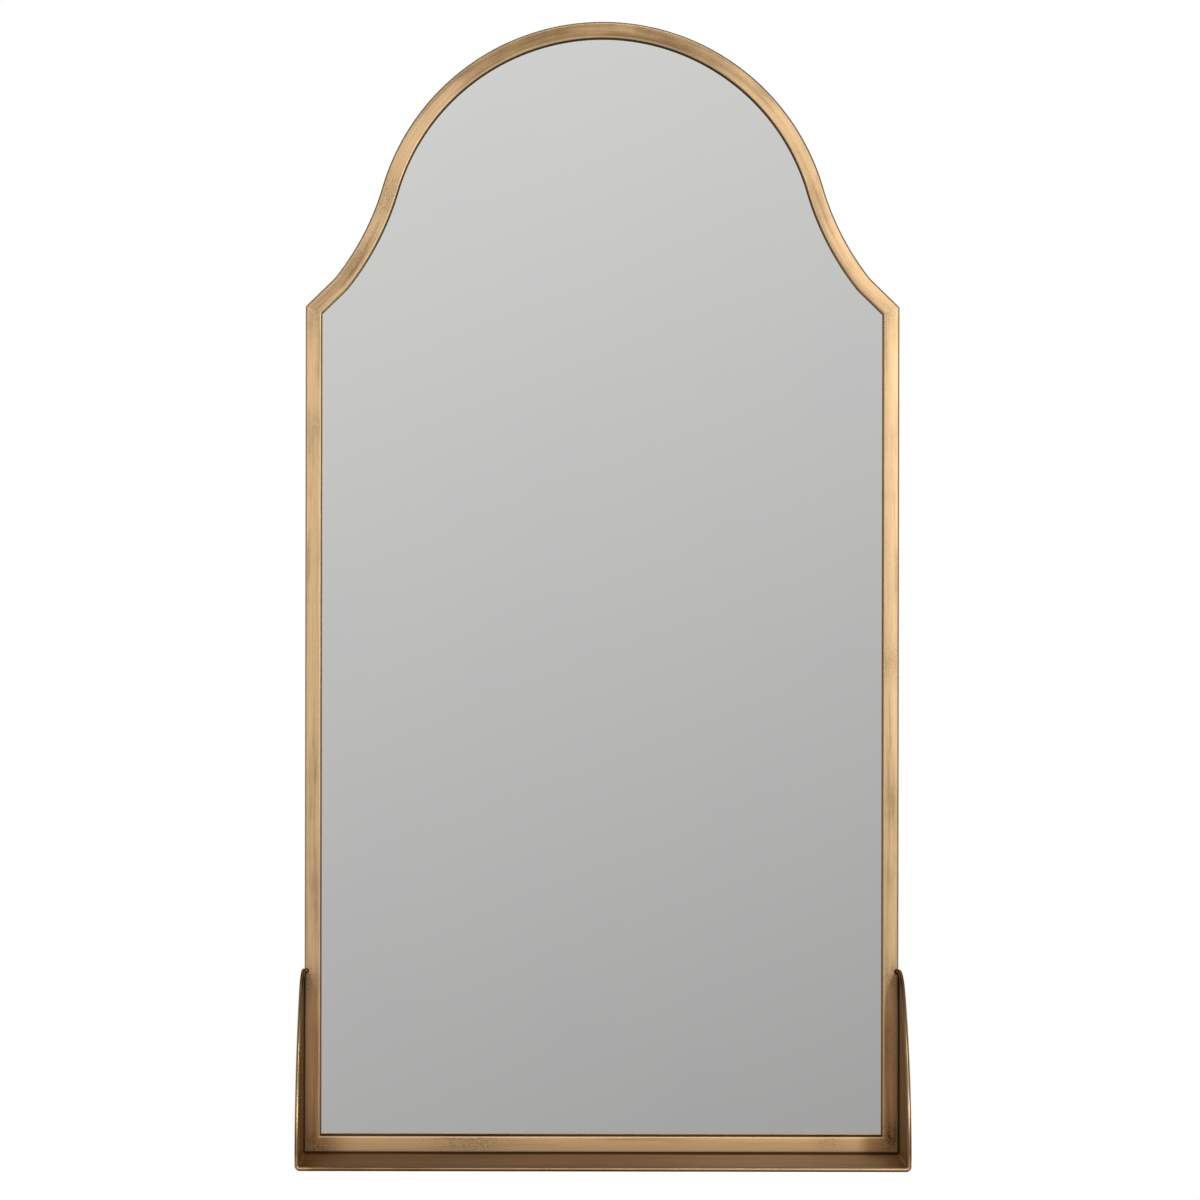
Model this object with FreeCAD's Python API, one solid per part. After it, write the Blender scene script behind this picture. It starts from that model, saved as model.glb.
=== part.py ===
import FreeCAD, Part
import math
import os

# Arched wall mirror with a folded tray shelf, in millimetres.
# +Z is up, the mirror faces -Y and the wall is the plane Y = 0.
# The origin lies on the wall, midway between the two hooks that carry the mirror.

# Frame outline, seen from the front
FRAME_WIDTH = 560.0
FRAME_HEIGHT = 1066.0
CROWN_RADIUS = 216.5
CROWN_END_ANGLE = 16.3  # degrees above level, where the crown meets the reverse curve
REVERSE_RADIUS = 252.0
END_BEND_SHARES = (0.70, 0.94)  # of the reverse curve's sweep: a tighter bend, then a straight end
END_BEND_RADIUS = 20.0
CORNER_RADIUS = 3.0
HOOK_DROP = 77.6  # from the shoulder corners down to the wall hooks

# Frame section: a folded strip with a deep outer wall and a short inner lip
FACE_WIDTH = 15.5
FRAME_DEPTH = 24.0
LIP_DEPTH = 7.0
FRAME_WALL = 1.5
FRAME_BEND_INSIDE = 0.6
WALL_GAP = 1.0  # the bumpers hold the frame this far off the wall

# Glazing, from the lip backwards
GLAZING_GAP = 2.0  # between the frame's wall and the edge of the glass
GLASS_THICKNESS = 4.0
FOAM_THICKNESS = 1.5
BOARD_THICKNESS = 4.0
PANE_CORNER_RADIUS = 2.0
PAD_LENGTH = 40.0
PAD_SHARES = (-0.27, 0.27)  # of the frame's width

# Bent tabs that hold the backing board in the frame
TAB_WIDTH = 14.0
TAB_GAUGE = 1.0
TAB_REACH = 12.0
TAB_ROOT = 5.0
STILE_TAB_SHARES = (0.12, 0.45, 0.75)  # of the stile's height
RAIL_TAB_SHARES = (-0.36, 0.0, 0.36)  # of the frame's width
CROWN_TAB_ANGLES = (40.0, 90.0, 140.0)

# Hangers: a welded lug, a strap folded round the ring's bar, and a D-shaped wire ring
LUG_GAUGE = 2.0
LUG_WIDTH = 32.0
LUG_FLANGE = 6.0
LUG_MARGIN = 6.0
LUG_CORNER_RADIUS = 5.0
LUG_CLEARANCE = 0.5
STRAP_OFFSET = 20.0  # from the frame's wall to the middle of the strap
STRAP_WIDTH = 12.0
STRAP_GAUGE = 1.0
RING_WIRE = 2.8
RING_BOW_RADIUS = 12.0
RING_CORNER_RADIUS = 3.5
RING_RISE = 7.0  # from the bar to the middle of the bow
RING_CLEARANCE = 0.08
RING_REST_GAP = 0.3
SCREW_FIRST = 27.0  # below the ring's bar
SCREW_PITCH = 12.0
SCREW_DIAMETER = 4.0
SCREW_CLEARANCE = 0.05
SCREW_HEAD_DIAMETER = 7.2
SCREW_HEAD_HEIGHT = 2.0
SCREW_HEAD_ROUNDING = 0.8
SCREW_SLOT_LENGTH = 4.2
SCREW_SLOT_WIDTH = 0.9
SCREW_SLOT_DEPTH = 1.0

# Rubber bumpers on the backing board
BUMPER_INSET = 45.0
BUMPER_BASE_DIAMETER = 13.0
BUMPER_TIP_DIAMETER = 10.0

# Tray shelf: one folded sheet with a round rod along its free edge
SHEET_GAUGE = 1.2
FOLD_INSIDE = 2.5
SHELF_REACH = 100.0  # from the frame's face to the middle of the front rod
SHELF_SIDE_HEIGHT = 171.0  # from the tray floor to the middle of the rod at its tip
TIP_ARC_RADIUS = 55.0
RIM_DIAMETER = 4.0
TRAY_SETBACK = 4.0  # from the frame's rear edge to the sheet's rear edge
TIP_WELD_RADIUS = 2.6
TIP_WELD_INSET = 1.8  # from the frame's side to the middle of the bead
TIP_WELD_GAP = 0.1
TACK_LENGTH = 16.0
TACK_LEG = 2.6
FLOOR_TACK_SHARES = (-0.4, 0.0, 0.4)  # of the frame's width
SIDE_TACK_SHARES = (0.25, 0.8)  # of the side's height

CUT_OVERRUN = 10.0

# Places that follow from the sizes above
HALF_WIDTH = FRAME_WIDTH / 2
CENTRE_DISTANCE = CROWN_RADIUS + REVERSE_RADIUS
REVERSE_X = CENTRE_DISTANCE * math.cos(math.radians(CROWN_END_ANGLE))
REVERSE_RISE = CENTRE_DISTANCE * math.sin(math.radians(CROWN_END_ANGLE))
REVERSE_SWEEP = math.degrees(math.acos((REVERSE_X - HALF_WIDTH) / REVERSE_RADIUS)) - CROWN_END_ANGLE
BEND_START, BEND_END = [CROWN_END_ANGLE + share * REVERSE_SWEEP for share in END_BEND_SHARES]
BEND_DISTANCE = REVERSE_RADIUS - END_BEND_RADIUS
BEND_X = REVERSE_X - BEND_DISTANCE * math.cos(math.radians(BEND_START))
BEND_DROP = BEND_DISTANCE * math.sin(math.radians(BEND_START))


def straight_run(inset):
    """Length of the reverse curve's straight end, moved inwards by inset, up to the frame's side."""
    turn = math.radians(BEND_END)
    start_x = BEND_X - (END_BEND_RADIUS + inset) * math.cos(turn)
    return (HALF_WIDTH - inset - start_x) / math.sin(turn)


def shoulder_drop(inset):
    """From the height of the reverse curve's centre down to the end of its straight end."""
    turn = math.radians(BEND_END)
    start_drop = BEND_DROP + (END_BEND_RADIUS + inset) * math.sin(turn)
    return start_drop + straight_run(inset) * math.cos(turn)


CROWN_Z = HOOK_DROP + shoulder_drop(0) - REVERSE_RISE
REVERSE_Z = CROWN_Z + REVERSE_RISE
BEND_Z = REVERSE_Z - BEND_DROP
BOTTOM_Z = CROWN_Z + CROWN_RADIUS - FRAME_HEIGHT
REAR_Y = -WALL_GAP
FACE_Y = REAR_Y - FRAME_DEPTH
GLASS_Y = FACE_Y + LIP_DEPTH
FOAM_Y = GLASS_Y + GLASS_THICKNESS
BOARD_Y = FOAM_Y + FOAM_THICKNESS
BOARD_BACK_Y = BOARD_Y + BOARD_THICKNESS
LUG_Y = BOARD_BACK_Y + LUG_CLEARANCE
STRAP_Y = LUG_Y + LUG_GAUGE
PANE_INSET = FRAME_WALL + GLAZING_GAP

RING_BORE_RADIUS = RING_WIRE / 2 + RING_CLEARANCE
RING_REACH = RING_RISE + RING_BOW_RADIUS
PIVOT_X = HALF_WIDTH - FRAME_WALL - STRAP_OFFSET
PIVOT_Y = STRAP_Y + STRAP_GAUGE + RING_BORE_RADIUS
PIVOT_Z = -(RING_REACH - RING_WIRE / 2)
SCREW_DROPS = (SCREW_FIRST, SCREW_FIRST + SCREW_PITCH)

RIM_RADIUS = RIM_DIAMETER / 2
RIM_X = HALF_WIDTH + SHEET_GAUGE / 2
RIM_Y = FACE_Y - SHELF_REACH
RIM_Z = BOTTOM_Z - SHEET_GAUGE / 2
RIM_CORNER_RADIUS = FOLD_INSIDE + SHEET_GAUGE / 2
TIP_Z = BOTTOM_Z + SHELF_SIDE_HEIGHT
TRAY_REAR_Y = REAR_Y - TRAY_SETBACK

ORIGIN = FreeCAD.Vector(0, 0, 0)
RIGHT = FreeCAD.Vector(1, 0, 0)
BACK = FreeCAD.Vector(0, 1, 0)
FRONT = FreeCAD.Vector(0, -1, 0)
UP = FreeCAD.Vector(0, 0, 1)


def point(x, y, z):
    return FreeCAD.Vector(x, y, z)


def line(start, end):
    return Part.LineSegment(start, end).toShape()


def arc(place, start, end):
    """Arc through the points that place() gives at two angles and midway between them."""
    return Part.Arc(place(start), place((start + end) / 2), place(end)).toShape()


def around_front(x, z, radius, y):
    """Points of a circle seen from the front, by angle in degrees."""
    def place(angle):
        turn = math.radians(angle)
        return point(x + radius * math.cos(turn), y, z + radius * math.sin(turn))
    return place


def around_side(x, y, z, radius):
    """Points of a circle seen from the side, by angle in degrees from the front upwards."""
    def place(angle):
        turn = math.radians(angle)
        return point(x, y - radius * math.cos(turn), z + radius * math.sin(turn))
    return place


def closed(points):
    return [line(a, b) for a, b in zip(points, points[1:] + points[:1])]


def solid_from(edges, direction):
    return Part.Face(Part.Wire(edges)).extrude(direction)


def box(x_range, y_range, z_range):
    size = [high - low for low, high in (x_range, y_range, z_range)]
    return Part.makeBox(*size, point(x_range[0], y_range[0], z_range[0]))


def mirrored(shape):
    return shape.mirror(ORIGIN, RIGHT)


def rod_along(edges, diameter, start, direction):
    """Round rod along a smooth chain of edges."""
    ring = Part.Circle(start, direction, diameter / 2).toShape()
    return Part.Wire(edges).makePipeShell([Part.Wire([ring])], True, False)


def shoulder_z(inset):
    """Height where the reverse curve's end meets the frame's side, both moved inwards by inset."""
    return REVERSE_Z - shoulder_drop(inset)


def outline(inset, rounding, y):
    """Edges of the mirror's outline, moved inwards by inset, with rounded corners."""
    side = HALF_WIDTH - inset
    foot = BOTTOM_Z + inset
    corner_x = side - rounding
    corner_z = foot + rounding
    shoulder = shoulder_z(inset + rounding)
    end = CROWN_END_ANGLE
    right_corner = around_front(corner_x, shoulder, rounding, y)
    left_corner = around_front(-corner_x, shoulder, rounding, y)
    right_bend = around_front(BEND_X, BEND_Z, END_BEND_RADIUS + inset, y)
    left_bend = around_front(-BEND_X, BEND_Z, END_BEND_RADIUS + inset, y)
    return [
        line(point(-corner_x, y, foot), point(corner_x, y, foot)),
        arc(around_front(corner_x, corner_z, rounding, y), -90, 0),
        line(point(side, y, corner_z), point(side, y, shoulder)),
        arc(right_corner, 0, BEND_END),
        line(right_corner(BEND_END), right_bend(180 + BEND_END)),
        arc(right_bend, 180 + BEND_END, 180 + BEND_START),
        arc(around_front(REVERSE_X, REVERSE_Z, REVERSE_RADIUS + inset, y), 180 + BEND_START, 180 + end),
        arc(around_front(0, CROWN_Z, CROWN_RADIUS - inset, y), end, 180 - end),
        arc(around_front(-REVERSE_X, REVERSE_Z, REVERSE_RADIUS + inset, y), -end, -BEND_START),
        arc(left_bend, -BEND_START, -BEND_END),
        line(left_bend(-BEND_END), left_corner(180 - BEND_END)),
        arc(left_corner, 180 - BEND_END, 180),
        line(point(-side, y, shoulder), point(-side, y, corner_z)),
        arc(around_front(-corner_x, corner_z, rounding, y), 180, 270),
    ]


def section_place(corner, inward):
    """Points of a frame section: inwards from the outline, and back from the frame's face."""
    def place(inset, depth):
        return corner + inward * inset + BACK * depth
    return place


def frame_section(corner, inward):
    """Folded strip with rounded bends, as a face across the frame."""
    at = section_place(corner, inward)
    outer = FRAME_BEND_INSIDE + FRAME_WALL
    far = FACE_WIDTH - outer

    def bend(inset, radius):
        def place(angle):
            turn = math.radians(angle)
            return at(inset + radius * math.cos(turn), outer + radius * math.sin(turn))
        return place

    lip_inside = FACE_WIDTH - FRAME_WALL
    edges = [
        line(at(0, FRAME_DEPTH), at(0, outer)),
        arc(bend(outer, outer), 180, 270),
        line(at(outer, 0), at(far, 0)),
        arc(bend(far, outer), 270, 360),
        line(at(FACE_WIDTH, outer), at(FACE_WIDTH, LIP_DEPTH)),
        line(at(FACE_WIDTH, LIP_DEPTH), at(lip_inside, LIP_DEPTH)),
        line(at(lip_inside, LIP_DEPTH), at(lip_inside, outer)),
        arc(bend(far, FRAME_BEND_INSIDE), 360, 270),
        line(at(far, FRAME_WALL), at(outer, FRAME_WALL)),
        arc(bend(outer, FRAME_BEND_INSIDE), 270, 180),
        line(at(FRAME_WALL, outer), at(FRAME_WALL, FRAME_DEPTH)),
        line(at(FRAME_WALL, FRAME_DEPTH), at(0, FRAME_DEPTH)),
    ]
    return Part.Face(Part.Wire(edges))


def through_frame(points):
    """Prism over an outline of front points, through the whole depth of the frame."""
    start = FRONT * CUT_OVERRUN
    edges = closed([p + start for p in points])
    return solid_from(edges, BACK * (FRAME_DEPTH + 2 * CUT_OVERRUN))


def mitre_tools(inner, outer, away):
    """Two prisms, on either side of the mitre line from inner to outer corner."""
    along = (outer - inner).normalize() * 2 * CUT_OVERRUN
    reach = away * (FACE_WIDTH + FRAME_DEPTH)
    start = inner - along
    end = outer + along
    beyond = through_frame([start, end, end + reach, start + reach])
    before = through_frame([start, end, end - reach, start - reach])
    return beyond, before


def corner_relief(x, z, start, end):
    """What is ground off a welded corner of the frame to round it."""
    y = FACE_Y - CUT_OVERRUN
    rounding = around_front(x, z, CORNER_RADIUS, y)
    outside = around_front(x, z, CORNER_RADIUS + CUT_OVERRUN, y)
    half = math.radians((end - start) / 2)
    peak = around_front(x, z, (CORNER_RADIUS + CUT_OVERRUN) / math.cos(half), y)((start + end) / 2)
    edges = [
        line(rounding(start), outside(start)),
        line(outside(start), peak),
        line(peak, outside(end)),
        line(outside(end), rounding(end)),
        arc(rounding, end, start),
    ]
    return solid_from(edges, BACK * (FRAME_DEPTH + 2 * CUT_OVERRUN))


def shoulder_relief():
    return corner_relief(HALF_WIDTH - CORNER_RADIUS, shoulder_z(CORNER_RADIUS), 0, BEND_END)


def foot_relief():
    return corner_relief(HALF_WIDTH - CORNER_RADIUS, BOTTOM_Z + CORNER_RADIUS, -90, 0)


def shoulder_mitre():
    inner = point(HALF_WIDTH - FACE_WIDTH, FACE_Y, shoulder_z(FACE_WIDTH))
    outer = point(HALF_WIDTH, FACE_Y, shoulder_z(0))
    return mitre_tools(inner, outer, UP)


def foot_mitre():
    inner = point(HALF_WIDTH - FACE_WIDTH, FACE_Y, BOTTOM_Z + FACE_WIDTH)
    outer = point(HALF_WIDTH, FACE_Y, BOTTOM_Z)
    return mitre_tools(inner, outer, UP)


def bent_section(centre, radius, angle):
    """Frame section at an angle of a bend that lies outside the frame."""
    place = around_front(centre.x, centre.z, radius, FACE_Y)(180 + angle)
    return frame_section(place, (place - centre).normalize())


def frame_arch():
    """Crown and both reverse curves with their straight ends, bent from one strip."""
    crown_centre = point(0, FACE_Y, CROWN_Z)
    reverse_centre = point(REVERSE_X, FACE_Y, REVERSE_Z)
    bend_centre = point(BEND_X, FACE_Y, BEND_Z)
    meeting = bent_section(reverse_centre, REVERSE_RADIUS, CROWN_END_ANGLE)
    crown = meeting.revolve(crown_centre, FRONT, 180 - 2 * CROWN_END_ANGLE)
    reverse = meeting.revolve(reverse_centre, FRONT, BEND_START - CROWN_END_ANGLE)
    bend_section = bent_section(bend_centre, END_BEND_RADIUS, BEND_START)
    bend = bend_section.revolve(bend_centre, FRONT, BEND_END - BEND_START)
    end_turn = math.radians(BEND_END)
    outwards = point(math.sin(end_turn), 0, -math.cos(end_turn))
    length = max(straight_run(0), straight_run(FACE_WIDTH)) + CUT_OVERRUN
    straight = bent_section(bend_centre, END_BEND_RADIUS, BEND_END).extrude(outwards * length)
    right = [reverse, bend, straight]
    bent = crown.fuse(right + [mirrored(part) for part in right])
    for tool in (shoulder_mitre()[1], shoulder_relief()):
        bent = bent.cut([tool, mirrored(tool)])
    return bent


def frame_stile():
    """Right-hand stile."""
    section = frame_section(point(HALF_WIDTH, FACE_Y, BOTTOM_Z), -RIGHT)
    length = shoulder_z(0) - BOTTOM_Z + CUT_OVERRUN
    stile = section.extrude(UP * length)
    above = shoulder_mitre()[0]
    below = foot_mitre()[1]
    return stile.cut([above, below, shoulder_relief(), foot_relief()])


def frame_bottom_rail():
    section = frame_section(point(-HALF_WIDTH, FACE_Y, BOTTOM_Z), UP)
    rail = section.extrude(RIGHT * FRAME_WIDTH)
    above = foot_mitre()[0]
    relief = foot_relief()
    return rail.cut([above, mirrored(above), relief, mirrored(relief)])


def pane(y, thickness):
    """Sheet of the glazing, inside the frame's wall."""
    return solid_from(outline(PANE_INSET, PANE_CORNER_RADIUS, y), BACK * thickness)


def setting_pads():
    """Rubber blocks that carry the lower edge of the glass and the board."""
    pads = []
    for share in PAD_SHARES:
        middle = share * FRAME_WIDTH
        x_range = (middle - PAD_LENGTH / 2, middle + PAD_LENGTH / 2)
        pads.append(box(x_range, (GLASS_Y, BOARD_BACK_Y), (BOTTOM_Z + FRAME_WALL, BOTTOM_Z + PANE_INSET)))
    return Part.makeCompound(pads)


def tab_section(corner, inward):
    """Bent tab: a root on the frame's wall and a leg over the board."""
    at = section_place(corner, inward)
    seat = BOARD_BACK_Y - FACE_Y
    root = FRAME_WALL + TAB_GAUGE
    tip = FRAME_WALL + TAB_REACH
    points = [
        at(FRAME_WALL, seat - TAB_ROOT),
        at(root, seat - TAB_ROOT),
        at(root, seat),
        at(tip, seat),
        at(tip, seat + TAB_GAUGE),
        at(FRAME_WALL, seat + TAB_GAUGE),
    ]
    return Part.Face(Part.Wire(closed(points)))


def retaining_tabs():
    tabs = []
    stile_height = shoulder_z(0) - BOTTOM_Z
    for share in STILE_TAB_SHARES:
        z = BOTTOM_Z + share * stile_height - TAB_WIDTH / 2
        tab = tab_section(point(HALF_WIDTH, FACE_Y, z), -RIGHT).extrude(UP * TAB_WIDTH)
        tabs += [tab, mirrored(tab)]
    for share in RAIL_TAB_SHARES:
        x = share * FRAME_WIDTH - TAB_WIDTH / 2
        tabs.append(tab_section(point(x, FACE_Y, BOTTOM_Z), UP).extrude(RIGHT * TAB_WIDTH))
    centre = point(0, FACE_Y, CROWN_Z)
    span = math.degrees(TAB_WIDTH / CROWN_RADIUS)
    for angle in CROWN_TAB_ANGLES:
        corner = around_front(0, CROWN_Z, CROWN_RADIUS, FACE_Y)(angle - span / 2)
        inward = (centre - corner).normalize()
        tabs.append(tab_section(corner, inward).revolve(centre, FRONT, span))
    return Part.makeCompound(tabs)


def screw_holes(radius):
    length = LUG_GAUGE + 2 * STRAP_GAUGE + 2 * CUT_OVERRUN
    start = LUG_Y - CUT_OVERRUN
    return [
        Part.makeCylinder(radius, length, point(PIVOT_X, start, PIVOT_Z - drop), BACK)
        for drop in SCREW_DROPS
    ]


def strap_end_z():
    return PIVOT_Z - SCREW_DROPS[-1] - STRAP_WIDTH / 2


def hanger_lug():
    """Right-hand lug, welded by its flange to the inside of the stile."""
    wall_x = HALF_WIDTH - FRAME_WALL
    z_range = (strap_end_z() - LUG_MARGIN, PIVOT_Z + LUG_MARGIN)
    free_x = wall_x - LUG_WIDTH
    plate = box((free_x, wall_x), (LUG_Y, LUG_Y + LUG_GAUGE), z_range)
    corners = [
        edge for edge in plate.Edges
        if abs(edge.tangentAt(edge.FirstParameter).y) == 1 and edge.CenterOfMass.x < PIVOT_X
    ]
    plate = plate.makeFillet(LUG_CORNER_RADIUS, corners)
    flange = box((wall_x - LUG_GAUGE, wall_x), (LUG_Y, LUG_Y + LUG_FLANGE), z_range)
    return plate.fuse(flange).removeSplitter().cut(screw_holes(SCREW_DIAMETER / 2 + SCREW_CLEARANCE))


def hanger_strap():
    """Right-hand strap: a strip folded in two round the ring's bar."""
    half = STRAP_WIDTH / 2
    end_z = PIVOT_Z - SCREW_DROPS[-1]
    edges = [
        line(point(PIVOT_X - half, STRAP_Y, end_z), point(PIVOT_X - half, STRAP_Y, PIVOT_Z)),
        line(point(PIVOT_X - half, STRAP_Y, PIVOT_Z), point(PIVOT_X + half, STRAP_Y, PIVOT_Z)),
        line(point(PIVOT_X + half, STRAP_Y, PIVOT_Z), point(PIVOT_X + half, STRAP_Y, end_z)),
        arc(around_front(PIVOT_X, end_z, half, STRAP_Y), 0, -180),
    ]
    strip = solid_from(edges, BACK * 2 * STRAP_GAUGE)
    start = point(PIVOT_X - half, PIVOT_Y, PIVOT_Z)
    loop = Part.makeCylinder(RING_BORE_RADIUS + STRAP_GAUGE, STRAP_WIDTH, start, RIGHT)
    bore_start = start - RIGHT * CUT_OVERRUN
    bore = Part.makeCylinder(RING_BORE_RADIUS, STRAP_WIDTH + 2 * CUT_OVERRUN, bore_start, RIGHT)
    return strip.fuse(loop).cut([bore] + screw_holes(SCREW_DIAMETER / 2 + SCREW_CLEARANCE))


def ring_rest_angle():
    """Lean of the hanging ring, in degrees, that keeps its bow just off the strap."""
    bow_y = STRAP_Y + 2 * STRAP_GAUGE + RING_REST_GAP + RING_WIRE / 2
    return math.degrees(math.asin((bow_y - PIVOT_Y) / RING_REACH))


def hanger_ring():
    """Right-hand D-ring, hanging from its bar in the strap's loop."""
    corner = RING_CORNER_RADIUS
    half_bar = math.sqrt((RING_BOW_RADIUS - corner) ** 2 - (RING_RISE - corner) ** 2)
    turn = math.degrees(math.atan2(RING_RISE - corner, half_bar))
    start = point(half_bar, 0, 0)
    edges = [
        arc(around_front(half_bar, -corner, corner, 0), 90, turn),
        arc(around_front(0, -RING_RISE, RING_BOW_RADIUS, 0), turn, -180 - turn),
        arc(around_front(-half_bar, -corner, corner, 0), 180 - turn, 90),
    ]
    bow = rod_along(edges, RING_WIRE, start, RIGHT)
    bar = Part.makeCylinder(RING_WIRE / 2, 2 * half_bar, point(-half_bar, 0, 0), RIGHT)
    ring = bow.fuse(bar)
    ring.rotate(ORIGIN, RIGHT, ring_rest_angle())
    ring.translate(point(PIVOT_X, PIVOT_Y, PIVOT_Z))
    return ring


def hanger_screw(drop):
    """Pan-head screw through the strap into the tapped lug."""
    seat = STRAP_Y + 2 * STRAP_GAUGE
    start = point(PIVOT_X, LUG_Y, PIVOT_Z - drop)
    shank = Part.makeCylinder(SCREW_DIAMETER / 2, seat - LUG_Y, start, BACK)
    head = Part.makeCylinder(SCREW_HEAD_DIAMETER / 2, SCREW_HEAD_HEIGHT, point(PIVOT_X, seat, start.z), BACK)
    rims = [edge for edge in head.Edges if edge.Closed and edge.CenterOfMass.y > seat + SCREW_HEAD_ROUNDING]
    head = head.makeFillet(SCREW_HEAD_ROUNDING, rims)
    top = seat + SCREW_HEAD_HEIGHT
    depth = (top - SCREW_SLOT_DEPTH, top + CUT_OVERRUN)
    long_side = SCREW_SLOT_LENGTH / 2
    short_side = SCREW_SLOT_WIDTH / 2
    slots = [
        box((start.x - a, start.x + a), depth, (start.z - b, start.z + b))
        for a, b in ((long_side, short_side), (short_side, long_side))
    ]
    return shank.fuse(head).cut(slots)


def hanger_screws():
    return Part.makeCompound([hanger_screw(drop) for drop in SCREW_DROPS])


def wall_bumper():
    """Right-hand rubber bumper, stuck to the board and reaching the wall."""
    start = point(HALF_WIDTH - BUMPER_INSET, BOARD_BACK_Y, BOTTOM_Z + BUMPER_INSET)
    return Part.makeCone(BUMPER_BASE_DIAMETER / 2, BUMPER_TIP_DIAMETER / 2, -BOARD_BACK_Y, start, BACK)


def side_curve(inset, x):
    """Two arcs of the tray's side, from its tip on the frame down to its front, moved in by inset."""
    reach = SHELF_REACH
    low_z = RIM_Z + RIM_CORNER_RADIUS
    rise = TIP_Z - low_z
    tip = TIP_ARC_RADIUS
    low = (reach ** 2 + rise ** 2 - 2 * rise * tip) / (2 * (reach - tip))
    turn = math.degrees(math.atan2(rise - tip, low - reach))
    upper = around_side(x, FACE_Y, TIP_Z - tip, tip - inset)
    lower = around_side(x, RIM_Y + low, low_z, low - inset)
    return [arc(upper, 90, turn), arc(lower, turn, 0)]


def shelf_tray():
    """Floor and both sides, folded from one sheet, cut to the curve of the sides."""
    side = HALF_WIDTH
    inside = FOLD_INSIDE
    outside = FOLD_INSIDE + SHEET_GAUGE
    y = RIM_Y
    corner_x = side - inside
    corner_z = BOTTOM_Z + inside
    under = BOTTOM_Z - SHEET_GAUGE
    folds = [
        line(point(-corner_x, y, BOTTOM_Z), point(corner_x, y, BOTTOM_Z)),
        arc(around_front(corner_x, corner_z, inside, y), -90, 0),
        line(point(side, y, corner_z), point(side, y, TIP_Z)),
        line(point(side, y, TIP_Z), point(side + SHEET_GAUGE, y, TIP_Z)),
        line(point(side + SHEET_GAUGE, y, TIP_Z), point(side + SHEET_GAUGE, y, corner_z)),
        arc(around_front(corner_x, corner_z, outside, y), 0, -90),
        line(point(corner_x, y, under), point(-corner_x, y, under)),
        arc(around_front(-corner_x, corner_z, outside, y), 270, 180),
        line(point(-side - SHEET_GAUGE, y, corner_z), point(-side - SHEET_GAUGE, y, TIP_Z)),
        line(point(-side - SHEET_GAUGE, y, TIP_Z), point(-side, y, TIP_Z)),
        line(point(-side, y, TIP_Z), point(-side, y, corner_z)),
        arc(around_front(-corner_x, corner_z, inside, y), 180, 270),
    ]
    sheet = solid_from(folds, BACK * (TRAY_REAR_Y - RIM_Y))

    edge_x = -(HALF_WIDTH + SHEET_GAUGE + CUT_OVERRUN)
    top = point(edge_x, TRAY_REAR_Y, TIP_Z - RIM_RADIUS)
    curve = side_curve(RIM_RADIUS, edge_x)
    front_top = curve[1].Vertexes[1].Point
    front_low = point(edge_x, front_top.y, under - CUT_OVERRUN)
    rear_low = point(edge_x, TRAY_REAR_Y, under - CUT_OVERRUN)
    side_shape = [
        line(top, curve[0].Vertexes[0].Point),
        curve[0],
        curve[1],
        line(front_top, front_low),
        line(front_low, rear_low),
        line(rear_low, top),
    ]
    return sheet.common(solid_from(side_shape, RIGHT * -2 * edge_x))


def shelf_rim_rod():
    """One rod bent along the tray's left side, front and right side."""
    corner_x = RIM_X - RIM_CORNER_RADIUS
    corner_z = RIM_Z + RIM_CORNER_RADIUS
    right = side_curve(0, RIM_X)
    left = side_curve(0, -RIM_X)
    edges = left + [
        arc(around_front(-corner_x, corner_z, RIM_CORNER_RADIUS, RIM_Y), 180, 270),
        line(point(-corner_x, RIM_Y, RIM_Z), point(corner_x, RIM_Y, RIM_Z)),
        arc(around_front(corner_x, corner_z, RIM_CORNER_RADIUS, RIM_Y), -90, 0),
    ] + right[::-1]
    return rod_along(edges, RIM_DIAMETER, point(-RIM_X, FACE_Y, TIP_Z), FRONT)


def rim_tip_weld():
    """Right-hand weld bead, half a ball that joins the rod's end to the frame's face."""
    middle = point(HALF_WIDTH - TIP_WELD_INSET, FACE_Y, TIP_Z)
    bead = Part.makeSphere(TIP_WELD_RADIUS, middle, FRONT, 0, 90, 360)
    start = point(RIM_X, FACE_Y + CUT_OVERRUN, TIP_Z)
    rod = Part.makeCylinder(RIM_RADIUS + TIP_WELD_GAP, TIP_WELD_RADIUS + 2 * CUT_OVERRUN, start, FRONT)
    return bead.cut(rod)


def tray_tack_welds():
    """Short fillet welds along the sheet's rear edge, onto the frame's outside."""
    tacks = []
    y = TRAY_REAR_Y
    for share in FLOOR_TACK_SHARES:
        x = share * FRAME_WIDTH - TACK_LENGTH / 2
        under = BOTTOM_Z - SHEET_GAUGE
        corners = [point(x, y, BOTTOM_Z), point(x, y + TACK_LEG, BOTTOM_Z), point(x, y, under)]
        tacks.append(solid_from(closed(corners), RIGHT * TACK_LENGTH))
    for share in SIDE_TACK_SHARES:
        x = HALF_WIDTH
        z = BOTTOM_Z + share * SHELF_SIDE_HEIGHT - TACK_LENGTH / 2
        corners = [point(x, y, z), point(x, y + TACK_LEG, z), point(x + SHEET_GAUGE, y, z)]
        tack = solid_from(closed(corners), UP * TACK_LENGTH)
        tacks += [tack, mirrored(tack)]
    return Part.makeCompound(tacks)


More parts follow.
